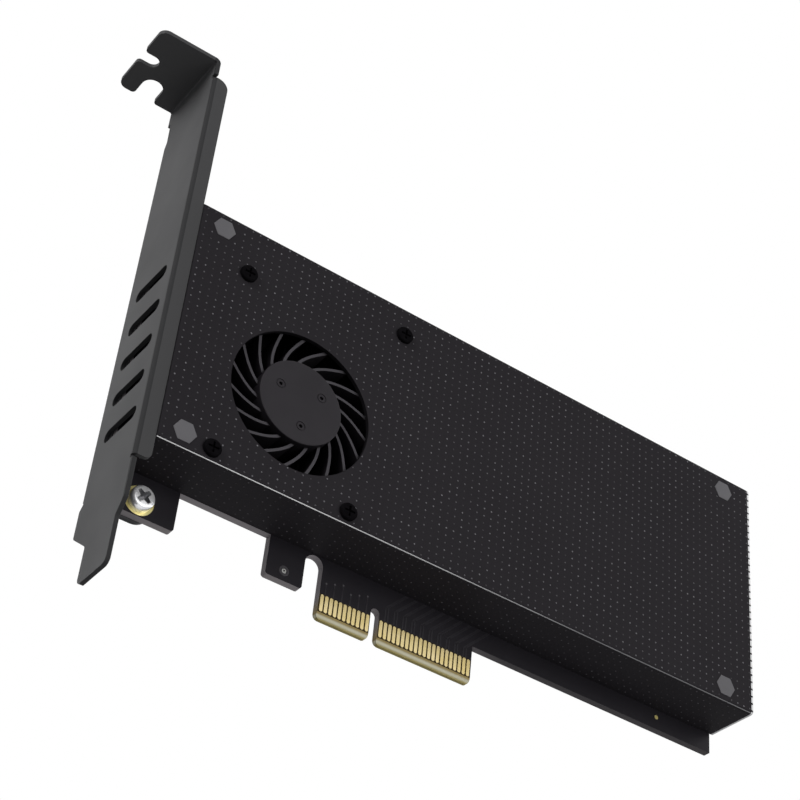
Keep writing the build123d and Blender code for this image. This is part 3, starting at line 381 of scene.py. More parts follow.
@dataclass(frozen=True)
class BoardFinish(Finish):
    """Solder mask on glass laminate, with the bare laminate at edges and contacts.

    Attributes:
        edge_colour: Cut edge of the laminate by the bracket.
        dark_edge_colour: Darker cut edge beyond the contacts, as painted shade, and behind the bracket.
        edge_span: Where the one turns into the other along X.
        dark_end: Where the end behind the bracket starts along X.
        edge_roughness: Roughness of the cut edges.
        edge_start: Height at which the cut edge starts to take over from the bevel.
        edge_rise: Height over which it does so.
        bevel_colours: Ground bevel, from its lower edge up.
        bevel_starts: Heights at which its second and third colour start.
        bevel_rise: Height over which one turns into the next.
        bare_colour: Laminate between the contacts, where there is no mask.
        bare_height: Height of the band without mask, from the contacts' lower edge.
        bare_span: Where that band starts and ends along X.
        weave_mm: Pitch of the glass cloth that shows through the mask.
        flat_from: How squarely a face looks forward or back to count as front or back.
    """

    edge_colour: str = "#a09b9e"
    dark_edge_colour: str = "#504d4f"
    edge_span: tuple[float, float] = (5.0, 30.0)
    dark_end: float = -56.7
    edge_roughness: float = 0.62
    edge_start: float = 1.3
    edge_rise: float = 3.1
    bevel_colours: tuple[str, str, str] = ("#a79a63", "#d6d2b8", "#a3905f")
    bevel_starts: tuple[float, float] = (0.15, 0.75)
    bevel_rise: float = 0.35
    bare_colour: str = "#3b3019"
    bare_height: float = 5.15
    bare_span: tuple[float, float] = (-12.2, 22.2)
    weave_mm: float = 0.55
    flat_from: float = 0.99

    def is_face(self, tree: bpy.types.NodeTree) -> bpy.types.NodeSocket:
        """Make the mask of the board's front and back."""
        flat = add_node(tree, Kind.MATH, {"operation": "ABSOLUTE"}, {0: self.facing(tree)["Y"]})
        return between(tree, flat.outputs[0], low=self.flat_from)

    def paint(self, tree: bpy.types.NodeTree) -> bpy.types.NodeSocket:
        """Make the colour from the side that each face looks to and its place.

        Args:
            tree: Node tree of the material.

        Returns:
            The socket with the colour.
        """
        place = self.axes(tree)
        low = between(tree, place["Z"], high=self.bare_height * MM)
        in_span = between(tree, place["X"], *(x * MM for x in self.bare_span))
        is_bare = add_node(tree, Kind.MATH, {"operation": "MULTIPLY"}, {0: low, 1: in_span})
        face = layered(tree, super().paint(tree), [(is_bare.outputs[0], linear(self.bare_colour))])
        spans = [("X", *self.edge_span)]
        spans += [("Z", start, start + self.bevel_rise) for start in self.bevel_starts]
        spans.append(("Z", self.edge_start, self.edge_start + self.edge_rise))
        along, second, third, above = (
            add_node(tree, Kind.RANGE, inputs={
                "Value": place[axis], "From Min": start * MM, "From Max": end * MM,
            }).outputs["Result"]
            for axis, start, end in spans
        )
        # The cut edge darkens along X as painted shade, and is as dark behind the bracket
        at_end = between(tree, place["X"], high=self.dark_end * MM)
        dark_edge = linear(self.dark_edge_colour)
        edge = layered(tree, linear(self.edge_colour), [(along, dark_edge), (at_end, dark_edge)])
        lowest, middle, upper = (linear(colour) for colour in self.bevel_colours)
        rim = layered(tree, lowest, [(second, middle), (third, upper), (above, edge)])
        return layered(tree, rim, [(self.is_face(tree), face)])

    def gloss(self, tree: bpy.types.NodeTree) -> bpy.types.NodeSocket:
        """Make the roughness: glossy on the faces, dull on the cut edges.

        Args:
            tree: Node tree of the material.

        Returns:
            The socket with the roughness.
        """
        is_face = self.is_face(tree)
        limits = {"Value": is_face, "To Min": self.edge_roughness, "To Max": self.roughness}
        return add_node(tree, Kind.RANGE, inputs=limits).outputs["Result"]

    def relief(self, tree: bpy.types.NodeTree) -> bpy.types.NodeSocket:
        """Make the glass cloth that shows through the mask."""
        weave = {"Vector": self.place(tree), "Scale": 1 / (self.weave_mm * MM)}
        return add_node(tree, Kind.CHECKER, inputs=weave).outputs["Fac"]


@dataclass(frozen=True)
class CoverFinish(Finish):
    """Dark anodised sheet, with a painted highlight along its fold and at its bare cut end.

    Attributes:
        roughness_spread: None here, since the sheet's roughness is even.
        bare_colour: Near-white: painted highlight along the folds, and on the bare cut end, where it
            stands for the edge catching the light.
        faded_highlight_colour: Dimmer painted highlight at the far end of the fold.
        highlight_fade_span: Where the one turns into the other along X.
        fold_highlight_width: Half-width of the painted highlight line along a fold.
        fold_radius: Bend radius of the folds.
        end_width: Width of the bright line at the cut end, bare metal painted as bright as a highlight.
        notch_pitch: Pitch at which the embossing breaks the bare end line.
        notch: Half-width of such a break.
        inlet: Centre of the round inlet, along X and Z.
        inlet_radius: Radius of the inlet.
        rim_width: How far beyond that radius the colour of the cut edge reaches.
        rim_colour: Anodised cut edge of the inlet.
        end_from: How squarely a face looks along X to count as the cut end.
    """

    roughness_spread: float = 0.0
    bare_colour: str = "#f0f0f1"
    faded_highlight_colour: str = "#88888a"
    highlight_fade_span: tuple[float, float] = (-20.0, 40.0)
    fold_highlight_width: float = 0.11
    fold_radius: float = 0.65
    end_width: float = 0.42
    notch_pitch: float = DOT_PITCH
    notch: float = 0.2
    inlet: tuple[float, float] = FAN_AXIS
    inlet_radius: float = INLET_RADIUS
    rim_width: float = 0.04
    rim_colour: str = "#141315"
    end_from: float = 0.5

    def paint(self, tree: bpy.types.NodeTree) -> bpy.types.NodeSocket:
        """Make the colour, with its lines placed from the cover's own box.

        Args:
            tree: Node tree of the material.

        Returns:
            The socket with the colour.
        """
        low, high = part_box("fan_cover")
        nearest = self.fold_radius * (math.sqrt(2) - 1)
        reach = math.hypot(nearest, self.fold_highlight_width) * MM
        fold = self.near_line(tree, (None, low[1], low[2]), reach)
        rim_centre = (self.inlet[0] * MM, None, self.inlet[1] * MM)
        rim = self.near_line(tree, rim_centre, (self.inlet_radius + self.rim_width) * MM)
        place = self.axes(tree)
        end = between(tree, place["X"], low=high[0] - self.end_width * MM)
        waves = {0: place["Z"], 1: self.notch_pitch * MM / 2}
        ripple = add_node(tree, Kind.MATH, {"operation": "PINGPONG"}, waves)
        unbroken = between(tree, ripple.outputs[0], low=self.notch * MM)
        cut_face = between(tree, self.facing(tree)["X"], low=self.end_from)
        shown = add_node(tree, Kind.MATH, {"operation": "MAXIMUM"}, {0: unbroken, 1: cut_face})
        bare = add_node(tree, Kind.MATH, {"operation": "MULTIPLY"}, {0: end, 1: shown.outputs[0]})
        # Near-white painted highlight along the fold, dimmer towards its far end, and on the bare cut
        # end
        highlight_white = linear(self.bare_colour)
        start, stop = self.highlight_fade_span
        limits = {"Value": place["X"], "From Min": start * MM, "From Max": stop * MM}
        highlight_mix = add_node(tree, Kind.RANGE, inputs=limits).outputs["Result"]
        metal = layered(tree, highlight_white, [(highlight_mix, linear(self.faded_highlight_colour))])
        layers = [(rim, linear(self.rim_colour)), (fold, metal), (bare.outputs[0], highlight_white)]
        return layered(tree, super().paint(tree), layers)


@dataclass(frozen=True)
class DotFinish(Finish):
    """Embossed dots painted paler than the sheet as their highlights, more or less from dot to dot.

    Attributes:
        roughness_spread: None here, since the dots' roughness is even.
        spread_mm: Distance over which the painted highlight changes.
        highlight_limits: Part of the noise that is spread over the whole change in the highlight.
        highlight_detail: Finer layers in the noise.
    """

    roughness_spread: float = 0.0
    spread_mm: float = 1.9
    highlight_limits: tuple[float, float] = (0.4, 0.68)
    highlight_detail: float = 1.0

    def paint(self, tree: bpy.types.NodeTree) -> bpy.types.NodeSocket:
        """Make the painted highlight, which changes from dot to dot.

        Args:
            tree: Node tree of the material.

        Returns:
            The socket with the colour.
        """
        noise = add_node(tree, Kind.NOISE, inputs={
            "Vector": self.place(tree), "Scale": 1 / (self.spread_mm * MM), "Detail": self.highlight_detail,
        })
        low, high = self.highlight_limits
        limits = {"Value": noise.outputs["Fac"], "From Min": low, "From Max": high}
        highlight_mix = add_node(tree, Kind.RANGE, inputs=limits)
        return layered(tree, linear(self.colour), [(highlight_mix.outputs["Result"], linear(self.second))])

    def relief(self, tree: bpy.types.NodeTree) -> None:
        """Leave the dots without grain, since they are as small as it is."""
        return None


@dataclass(frozen=True)
class BracketFinish(Finish):
    """Powder coat with painted shade on the long fold, on what looks forward and on what looks down,
    and darker along the cut edges.

    Attributes:
        dark_fold_and_edge_colour: Painted shade on the fold, and the same dark colour on the cut edges.
        forward_shade_colour: Painted shade on the lip and on what else looks forward.
        under_shade_colour: Painted shade on what looks down, such as the tab's underside.
        fold_reach: Half-width of the painted shade band on the fold.
        face_x: Where the bracket's outer face is along X.
        sheet: Thickness of the folded sheet.
        margin: How far from either face a cut edge starts.
        turned_from: How squarely a face looks forward or down to count as doing so.
    """

    dark_fold_and_edge_colour: str = "#363637"
    forward_shade_colour: str = "#4b4b4c"
    under_shade_colour: str = "#49494a"
    fold_reach: float = 0.5
    face_x: float = -57.8
    sheet: float = BRACKET_SHEET
    margin: float = 0.06
    turned_from: float = 0.8

    def paint(self, tree: bpy.types.NodeTree) -> bpy.types.NodeSocket:
        """Make the plain coat, then paint shade on what looks down, on the lip and along the fold, and
        darken the cut edges.

        Args:
            tree: Node tree of the material.

        Returns:
            The socket with the colour.
        """
        low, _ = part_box("slot_bracket")
        fold = self.near_line(tree, (self.face_x * MM, low[1], None), self.fold_reach * MM)
        edges = ((self.face_x + self.margin) * MM, (self.face_x + self.sheet - self.margin) * MM)
        cut = between(tree, self.axes(tree)["X"], *edges)
        facing = self.facing(tree)
        # Painted shade on what looks forward, on what looks down and along the fold; the cut edges get
        # the fold's dark colour
        return layered(tree, super().paint(tree), [
            (between(tree, facing["Y"], high=-self.turned_from), linear(self.forward_shade_colour)),
            (between(tree, facing["Z"], high=-self.turned_from), linear(self.under_shade_colour)),
            (fold, linear(self.dark_fold_and_edge_colour)),
            (cut, linear(self.dark_fold_and_edge_colour)),
        ])


@dataclass(frozen=True)
class RotorFinish(Finish):
    """Moulded rotor: painted shade on the flanks, paler on what looks forward, and paler still on the
    blades than on the hub.

    Attributes:
        blade_colour: Front edges of the blades.
        flank_shade_colour: Painted shade on the sides of the blades and of the hub.
        axis: Where the rotor's axis is, along X and Z.
        hub_radius: Radius of the hub.
        front_from: How squarely a face looks forward to count as a front edge.
    """

    blade_colour: str = "#4d4b4f"
    flank_shade_colour: str = "#1b191c"
    axis: tuple[float, float] = FAN_AXIS
    hub_radius: float = 8.95
    front_from: float = 0.6

    def paint(self, tree: bpy.types.NodeTree) -> bpy.types.NodeSocket:
        """Make the plain plastic, set the blades apart, and paint shade on the flanks.

        Args:
            tree: Node tree of the material.

        Returns:
            The socket with the colour.
        """
        centre = (self.axis[0] * MM, None, self.axis[1] * MM)
        hub = self.near_line(tree, centre, self.hub_radius * MM)
        front = layered(tree, linear(self.blade_colour), [(hub, super().paint(tree))])
        # What doesn't look forward gets the painted shade of the flanks
        forward = between(tree, self.facing(tree)["Y"], high=-self.front_from)
        return layered(tree, linear(self.flank_shade_colour), [(forward, front)])


# Solder mask over glass laminate: glossy black, with a brown-grey cut edge and a cream ground bevel
SOLDER_MASK = BoardFinish(
    "solder_mask_on_laminate", "#252327", "#211f23", 0.4, specular=0.1, depth_mm=0.002
)
# Thin immersion gold on the pads: pale lemon, a little milky
PAD_GOLD = Finish(
    "immersion_gold_pad", "#efe3a0", "#dccb7c", 0.35, metallic=0.6, cloud_mm=1.5, depth_mm=0.001
)
# Hard gold over nickel: warm, nearly mirror-like bands
GOLD_PLATE = Finish(
    "electroplated_hard_gold", "#e4d29f", "#cfbc80", 0.34, metallic=1.0, cloud_mm=2.5, depth_mm=0.001
)
# Powder-coated steel: matt charcoal with a fine even tooth
BRACKET_COAT = BracketFinish(
    "powder_coated_steel", "#5a5a5b", "#535354", 0.6, specular=0.06, grain=Grain.POWDER,
    grain_mm=0.35, depth_mm=0.006, cloud_mm=25.0,
)
# The same coat behind the board, painted near-black as the shade seen through the vents: matt
VENT_SHADE_COAT = Finish(
    "vent_painted_shade", "#242425", "#1f1f20", 0.6, specular=0.05, grain=Grain.POWDER, grain_mm=0.35
)
# Anodised and brushed sheet: deep matt black, with a thin painted highlight along its fold
COVER_SHEET = CoverFinish(
    "anodised_aluminium_sheet", "#2b292c", "#282629", 0.55, specular=0.03, grain=Grain.POWDER,
    grain_mm=0.25, depth_mm=0.003, cloud_mm=30.0,
)
# Embossed dots, painted paler than the sheet as highlights: small uneven points of light
DOT_TOP = DotFinish("embossed_dot_painted_highlight", "#3b393c", "#79787c", 0.5, specular=0.1)
# Embossed dots of the walls, with a fainter painted highlight: they only just show
WALL_DOT = DotFinish("wall_dot_painted_highlight", "#2e2c2f", "#59575b", 0.5, specular=0.05)
# Clinched aluminium hexagon, blasted: flat mid grey
HEX_METAL = Finish(
    "blasted_aluminium", "#6b6a6d", "#656467", 0.6, specular=0.12, grain=Grain.POWDER, grain_mm=0.2,
    depth_mm=0.004,
)
# Black zinc on steel: dark satin with small sharp glints
BLACK_ZINC = Finish("black_zinc_plated_steel", "#0f0e10", "#141315", 0.5, specular=0.0, cloud_mm=1.5)
# Nickel-plated steel: bright and clean, reflects the white room
NICKEL = Finish(
    "nickel_plated_steel", "#ededee", "#dfdfe1", 0.24, metallic=1.0, cloud_mm=2.0, depth_mm=0.0004
)
# Zinc plating under a clear passivation: bright but a little milky; its recess gets painted shade
CLEAR_ZINC = Finish(
    "clear_passivated_zinc", "#fafafb", "#f0f0f2", 0.25, metallic=0.6, cloud_mm=1.2, depth_mm=0.0004
)
# The same plating down in the screw's recess, painted grey as the recess's shade
RECESS_SHADE_ZINC = Finish("zinc_recess_painted_shade", "#a2a2a5", "#828285", 0.35, metallic=0.7, cloud_mm=0.6)
# Turned steel of the shaft: bright, with fine rings
TURNED_STEEL = Finish("turned_steel", "#b9babd", "#a7a8ab", 0.28, metallic=1.0, grain=Grain.ROLLED)
# Glass-filled plastic of the housing: black with a soft sheen
HOUSING_PLASTIC = Finish(
    "moulded_pbt_housing", "#121113", "#0e0d0f", 0.5, specular=0.06, grain=Grain.MOULDED, grain_mm=0.4
)
# Glass-filled plastic of the rotor: dark grey, spark-eroded matt
ROTOR_PLASTIC = RotorFinish(
    "moulded_pbt_rotor", "#363437", "#333134", 0.55, specular=0.05, grain=Grain.MOULDED, grain_mm=0.3,
    cloud_mm=9.0,
)
# Pressed ferrite: near-black with a faint stony grain
FERRITE = Finish("pressed_ferrite", "#2b2a2b", "#232223", 0.7, grain=Grain.POWDER, grain_mm=0.2)
# Stacked electrical sheet: grey with lines along the stack
LAMINATION = Finish(
    "stacked_electrical_steel", "#8b8c8e", "#77787a", 0.42, metallic=1.0, grain=Grain.ROLLED
)
# Enamelled wire, wound: copper red with fine turns
COPPER_WIRE = Finish(
    "enamelled_copper_wire", "#a9552c", "#8d4522", 0.3, metallic=1.0, grain=Grain.ROLLED
)
# Sintered bronze: dull brown gold, porous
BRONZE = Finish("sintered_bronze", "#8a6a3c", "#765a32", 0.55, metallic=1.0, grain=Grain.POWDER)
# Extruded wire sleeve: soft black
WIRE_SLEEVE = Finish("extruded_pvc_sleeve", "#1c1c1d", "#171718", 0.45, specular=0.3)
# Unfilled nylon of small connectors: ivory with a waxy sheen
IVORY_NYLON = Finish("moulded_nylon", "#d9d3bf", "#d0c9b2", 0.45, grain=Grain.MOULDED, grain_mm=0.5)
# Tin plating: silvery and a little cloudy
TIN_PLATE = Finish("matt_tin_plate", "#bdbdba", "#a9a9a6", 0.36, metallic=1.0, cloud_mm=1.0)
# Moulded epoxy of chips: charcoal with a fine satin tooth
CHIP_EPOXY = Finish(
    "moulded_epoxy", "#232325", "#1e1e20", 0.55, specular=0.3, grain=Grain.MOULDED, grain_mm=0.25
)
# Drawn can of an electrolytic capacitor: bright with soft rings
DRAWN_CAN = Finish("drawn_aluminium_can", "#d3d4d6", "#c4c5c8", 0.27, metallic=1.0, grain=Grain.ROLLED)
# Fired ceramic of chip capacitors: warm tan
CERAMIC = Finish("fired_ceramic", "#9b7a54", "#8a6a47", 0.5, grain=Grain.POWDER, grain_mm=0.15)
# Clear resin of a small light that is switched off: pale yellow-green
LED_RESIN = Finish("clear_epoxy_lens", "#cfd2b4", "#bfc3a2", 0.15, coat=0.6)
# Copper under the mask: a shade lighter than the mask itself, so that the lines only just show
MASKED_COPPER = Finish("copper_under_mask", "#2f2d31", "#29272b", 0.34, specular=0.2, depth_mm=0.002)
# Broad ring of copper under the mask: a dim grey ring
MASKED_RING = Finish("ring_under_mask", "#434144", "#39373a", 0.4, specular=0.2, depth_mm=0.001)
# Small plated holes under thin mask: dull grey specks
VIA_CAP = Finish("mask_capped_via", "#5b595c", "#4a484b", 0.35, specular=0.3, depth_mm=0.001)

NODE_FINISHES: dict[str, Finish] = {
    "circuit_board": SOLDER_MASK,
    "edge_contacts_front": GOLD_PLATE,
    "edge_contacts_back": GOLD_PLATE,
    "plated_pads": PAD_GOLD,
    "slot_bracket": BRACKET_COAT,
    "bracket_screws": NICKEL,
    "fan_cover": COVER_SHEET,
    "cover_standoffs": HEX_METAL,
    "standoff_screws": BLACK_ZINC,
    "blower_housing": HOUSING_PLASTIC,
    "impeller": ROTOR_PLASTIC,
    "rotor_shaft": TURNED_STEEL,
    "rotor_magnet": FERRITE,
    "stator_core": LAMINATION,
    "stator_coils": COPPER_WIRE,
    "bearing_sleeve": BRONZE,
    "motor_board": SOLDER_MASK,
    "fan_screws": BLACK_ZINC,
    "fan_lead": WIRE_SLEEVE,
    "fan_plug": IVORY_NYLON,
    "fan_header": IVORY_NYLON,
    "header_pins": TIN_PLATE,
    "ssd_socket": HOUSING_PLASTIC,
    "socket_tails": TIN_PLATE,
    "ssd_posts": TIN_PLATE,
    "ssd_screw": NICKEL,
    "voltage_regulator": CHIP_EPOXY,
    "power_inductor": FERRITE,
    "bulk_capacitors": DRAWN_CAN,
    "capacitor_bases": CHIP_EPOXY,
    "small_capacitors": CERAMIC,
    "small_resistors": CHIP_EPOXY,
    "status_leds": LED_RESIN,
}


class Wardrobe:
    """Keeps one Blender material for each finish, and dresses objects with them."""

    def __init__(self) -> None:
        """Start with no materials made."""
        self.made: dict[str, bpy.types.Material] = {}

    def get(self, finish: Finish) -> bpy.types.Material:
        """Give the material of a finish, made on first use.

        Args:
            finish: The finish.

        Returns:
            Its material.
        """
        if finish.title not in self.made:
            self.made[finish.title] = finish.make()
        return self.made[finish.title]

    def dress(self, obj: bpy.types.Object, finish: Finish) -> None:
        """Put one finish on every slot of an object.

        Args:
            obj: Object to dress.
            finish: Finish for all its faces.
        """
        material = self.get(finish)
        if not obj.data.materials:
            obj.data.materials.append(material)
        for place in obj.material_slots:
            place.material = material


def finished_mesh(name: str, maker: bmesh.types.BMesh) -> bpy.types.Mesh:
    """Write a finished bmesh to a new mesh.

    Args:
        name: Name of the mesh.
        maker: The bmesh, which is freed here.

    Returns:
        The new mesh.
    """
    mesh = bpy.data.meshes.new(name)
    maker.to_mesh(mesh)
    maker.free()
    return mesh


def new_piece(name: str, maker: bmesh.types.BMesh, smooth: bool = False) -> bpy.types.Object:
    """Turn a finished bmesh into an object at the origin.

    Args:
        name: Name of the piece.
        maker: The bmesh, which is freed here.
        smooth: True for smooth shading.

    Returns:
        The new object.
    """
    for face in maker.faces:
        face.smooth = smooth
    piece = bpy.data.objects.new(name, finished_mesh(name, maker))
    bpy.context.scene.collection.objects.link(piece)
    return piece


def stamp(target: bmesh.types.BMesh, tool: bpy.types.Mesh, places: Iterable[Matrix]) -> None:
    """Add a copy of a small mesh to a bmesh at each place.

    Args:
        target: bmesh that collects the copies.
        tool: Mesh to copy.
        places: Transform of each copy.
    """
    for place in places:
        before = len(target.verts)
        target.from_mesh(tool)
        target.verts.ensure_lookup_table()
        bmesh.ops.transform(target, matrix=place, verts=target.verts[before:])


@dataclass
class DotField:
    """Raised dots in a square grid on the cover's face and walls.

    Attributes:
        pitch: Grid pitch along both directions.
        radius: Radius of a dot at its foot.
        top_share: Radius at a dot's top against the radius at its foot.
        height: How far a dot stands proud.
        sides: Sides of a dot's outline.
        edge: Distance of the outer dots from the cover's edges.
        inlet: Centre of the round inlet, along X and Z.
        inlet_radius: Radius of the inlet.
        clearance: Least gap between the inlet and a dot.
        keep_out: Centres and radii of what else the dots leave free.
    """

    wardrobe: Wardrobe
    pitch: float = DOT_PITCH
    radius: float = 0.17
    top_share: float = 0.5
    height: float = 0.08
    sides: int = 8
    edge: float = 0.75
    inlet: tuple[float, float] = FAN_AXIS
    inlet_radius: float = INLET_RADIUS
    clearance: float = 0.1
    keep_out: tuple[tuple[float, float, float], ...] = (
        (-49.4, 16.1, 2.6), (-49.4, 63.6, 2.6), (75.4, 16.1, 2.6), (75.4, 63.6, 2.6),
        (-43.0, 55.9, 1.9), (-7.9, 60.4, 1.9), (-43.9, 15.1, 1.9), (-15.4, 15.1, 1.9),
    )

    def tool(self) -> bpy.types.Mesh:
        """Make one dot that points to -Y, with its foot at the origin.

        Returns:
            The mesh of the dot.
        """
        dot = bmesh.new()
        tilt = Matrix.Rotation(math.pi / 2, 4, "X")
        lift = Matrix.Translation((0, 0, self.height * MM / 2))
        bmesh.ops.create_cone(
            dot, cap_ends=True, segments=self.sides, radius1=self.radius * MM,
            radius2=self.radius * MM * self.top_share, depth=self.height * MM, matrix=tilt @ lift,
        )
        foot = [f for f in dot.faces if all(abs(v.co.y) < TOUCHING for v in f.verts)]
        bmesh.ops.delete(dot, geom=foot, context="FACES_ONLY")
        return finished_mesh("dot_tool", dot)

    def free(self, x: float, z: float) -> bool:
        """Say whether a dot stays clear of the inlet, hexagons and screws.

        Args:
            x: Place of the dot along X.
            z: Place of the dot along Z.

        Returns:
            True where it does.
        """
        if math.dist((x, z), self.inlet) < self.inlet_radius + self.radius + self.clearance:
            return False
        return all(math.dist((x, z), (a, b)) > r + self.radius for a, b, r in self.keep_out)

    def rows(self, low: float, high: float) -> list[float]:
        """Give the grid places between two edges, centred.

        Args:
            low: Lower edge.
            high: Upper edge.

        Returns:
            Places at the grid's pitch.
        """
        count = int((high - low - 2 * self.edge) / self.pitch) + 1
        first = (low + high - (count - 1) * self.pitch) / 2
        return [first + i * self.pitch for i in range(count)]

    def build(self) -> list[bpy.types.Object]:
        """Build the dots on the face and on both walls.

        Returns:
            The face's dots and the walls' dots.
        """
        low, high = (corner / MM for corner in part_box("fan_cover"))
        along = self.rows(low.x, high.x)
        field = bmesh.new()
        walls = bmesh.new()
        dot = self.tool()
        face_places = [
            Matrix.Translation(Vector((x, low.y, z)) * MM)
            for x in along for z in self.rows(low.z, high.z) if self.free(x, z)
        ]
        stamp(field, dot, face_places)
        for wall_z, turn in ((low.z, -math.pi / 2), (high.z, math.pi / 2)):
            tilt = Matrix.Rotation(-turn, 4, "X")
            places = [
                Matrix.Translation(Vector((x, y, wall_z)) * MM) @ tilt
                for x in along for y in self.rows(low.y, high.y)
            ]
            stamp(walls, dot, places)
        pieces = [
            new_piece("cover_dots", field, smooth=True), new_piece("wall_dots", walls, smooth=True)
        ]
        for piece, finish in zip(pieces, (DOT_TOP, WALL_DOT)):
            self.wardrobe.dress(piece, finish)
            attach(piece, CARD)
        return pieces


@dataclass
class PanScrews:
    """Bright pan-head screws with a tapered cross recess, in place of the plain ones of the model.

    Attributes:
        head_radius: Radius of the head.
        head_height: Height of the head.
        top_radius: Radius of the flat at the head's top.
        side_share: Share of the head's height where its side starts to round off.
        round_steps: Steps over which it does so.
        shank_radius: Radius of the shank.
        tip_share: Chamfer at the shank's end, against the shank's radius.
        reach: Length of the shank.
        steps: Steps round the axis.
        wing_reach: How far a wing of the recess reaches from the axis.
        wing_half: Half the width of a wing at its end.
        core: How far the corner between two wings is from the axis, along X and Z alike.
        depth: Depth of the recess.
        taper: Size of the recess's floor against its mouth.
        turn: Turn of the recess in degrees.
        sharp_from: Angle in degrees from which an edge is shaded sharp.
    """

    wardrobe: Wardrobe
    head_radius: float = 2.33
    head_height: float = 1.9
    top_radius: float = 1.75
    side_share: float = 0.65
    round_steps: int = 5
    shank_radius: float = 1.5
    tip_share: float = 0.2
    reach: float = 3.6
    steps: int = 32
    wing_reach: float = 1.5
    wing_half: float = 0.36
    core: float = 0.52
    depth: float = 1.2
    taper: float = 0.5
    turn: float = 50.0
    sharp_from: float = 32.0

    def profile(self) -> list[tuple[float, float]]:
        """Give the screw's outline, as radius and height, from its top edge to the axis below.

        Returns:
            The corners of the outline.
        """
        side_z = self.head_height * self.side_share
        drop = self.head_height - side_z
        bulge = self.head_radius - self.top_radius
        angles = [i * math.pi / 2 / self.round_steps for i in range(self.round_steps + 1)]
        rounded = [
            (self.top_radius + bulge * math.sin(a), side_z + drop * math.cos(a)) for a in angles
        ]
        shank, tip = self.shank_radius, self.tip_share * self.shank_radius
        lower = [(self.head_radius, 0.0), (shank, 0.0), (shank, tip - self.reach)]
        return rounded + lower + [(shank - tip, -self.reach), (0.0, -self.reach)]

    def mouth(self) -> list[tuple[float, float]]:
        """Give the corners of the recess's mouth, going round.

        Returns:
            The corners across the axis, three for each quarter.
        """
        wing = [(self.wing_reach, side * self.wing_half) for side in (-1, 1)]
        corners = []
        for quarter in range(4):
            angle = math.radians(self.turn + 90 * quarter)
            for along, across in (*wing, (self.core, self.core)):
                corners.append((
                    along * math.cos(angle) - across * math.sin(angle),
                    along * math.sin(angle) + across * math.cos(angle),
                ))
        return corners

    def tool(self) -> bpy.types.Mesh:
        """Make one screw along +Z, with its seat at the origin.

        Returns:
            The mesh of the screw.
        """
        screw = bmesh.new()
        outline = [screw.verts.new(Vector((radius, 0, z)) * MM) for radius, z in self.profile()]
        edges = [screw.edges.new(pair) for pair in zip(outline, outline[1:])]
        bmesh.ops.spin(
            screw, geom=outline + edges, cent=(0, 0, 0), axis=(0, 0, 1), angle=2 * math.pi,
            steps=self.steps, use_merge=True,
        )
        bmesh.ops.remove_doubles(screw, verts=screw.verts, dist=TOUCHING)
        top_edge = [e for e in screw.edges if e.is_boundary]
        mouth = [screw.verts.new(Vector((x, y, self.head_height)) * MM) for x, y in self.mouth()]
        ring = [screw.edges.new(pair) for pair in zip(mouth, mouth[1:] + mouth[:1])]
        bmesh.ops.triangle_fill(screw, use_beauty=True, edges=top_edge + ring)
        pit = bmesh.ops.extrude_edge_only(screw, edges=ring)["geom"]
        floor = [v for v in pit if isinstance(v, bmesh.types.BMVert)]
        bmesh.ops.scale(screw, vec=(self.taper, self.taper, 1), verts=floor)
        bmesh.ops.translate(screw, vec=(0, 0, -self.depth * MM), verts=floor)
        low_edge = [e for e in pit if isinstance(e, bmesh.types.BMEdge)]
        bmesh.ops.triangle_fill(screw, use_beauty=True, edges=low_edge)
        # The recess's walls and floor take the second slot, painted grey as shade
        for vert in floor:
            for face in vert.link_faces:
                face.material_index = 1
        bmesh.ops.recalc_face_normals(screw, faces=screw.faces)
        return finished_mesh("screw_tool", screw)

    def build(self) -> list[bpy.types.Object]:
        """Put a screw where each of the model's own is.

        Returns:
            The piece with both screws.
        """
        low, high = (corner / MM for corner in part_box("bracket_screws"))
        x = (low.x + high.x) / 2
        half = (high.x - low.x) / 2
        seat_y = low.y + self.head_height
        upright = Matrix.Rotation(math.pi / 2, 4, "X")
        places = [
            Matrix.Translation(Vector((x, seat_y, z)) * MM) @ upright
            for z in (low.z + half, high.z - half)
        ]
        pair = bmesh.new()
        stamp(pair, self.tool(), places)
        piece = new_piece("cross_recess_screws", pair, smooth=True)
        piece.data.set_sharp_from_angle(angle=math.radians(self.sharp_from))
        self.wardrobe.dress(piece, CLEAR_ZINC)
        piece.data.materials.append(self.wardrobe.get(RECESS_SHADE_ZINC))
        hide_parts("bracket_screws")
        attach(piece, CARD)
        return [piece]


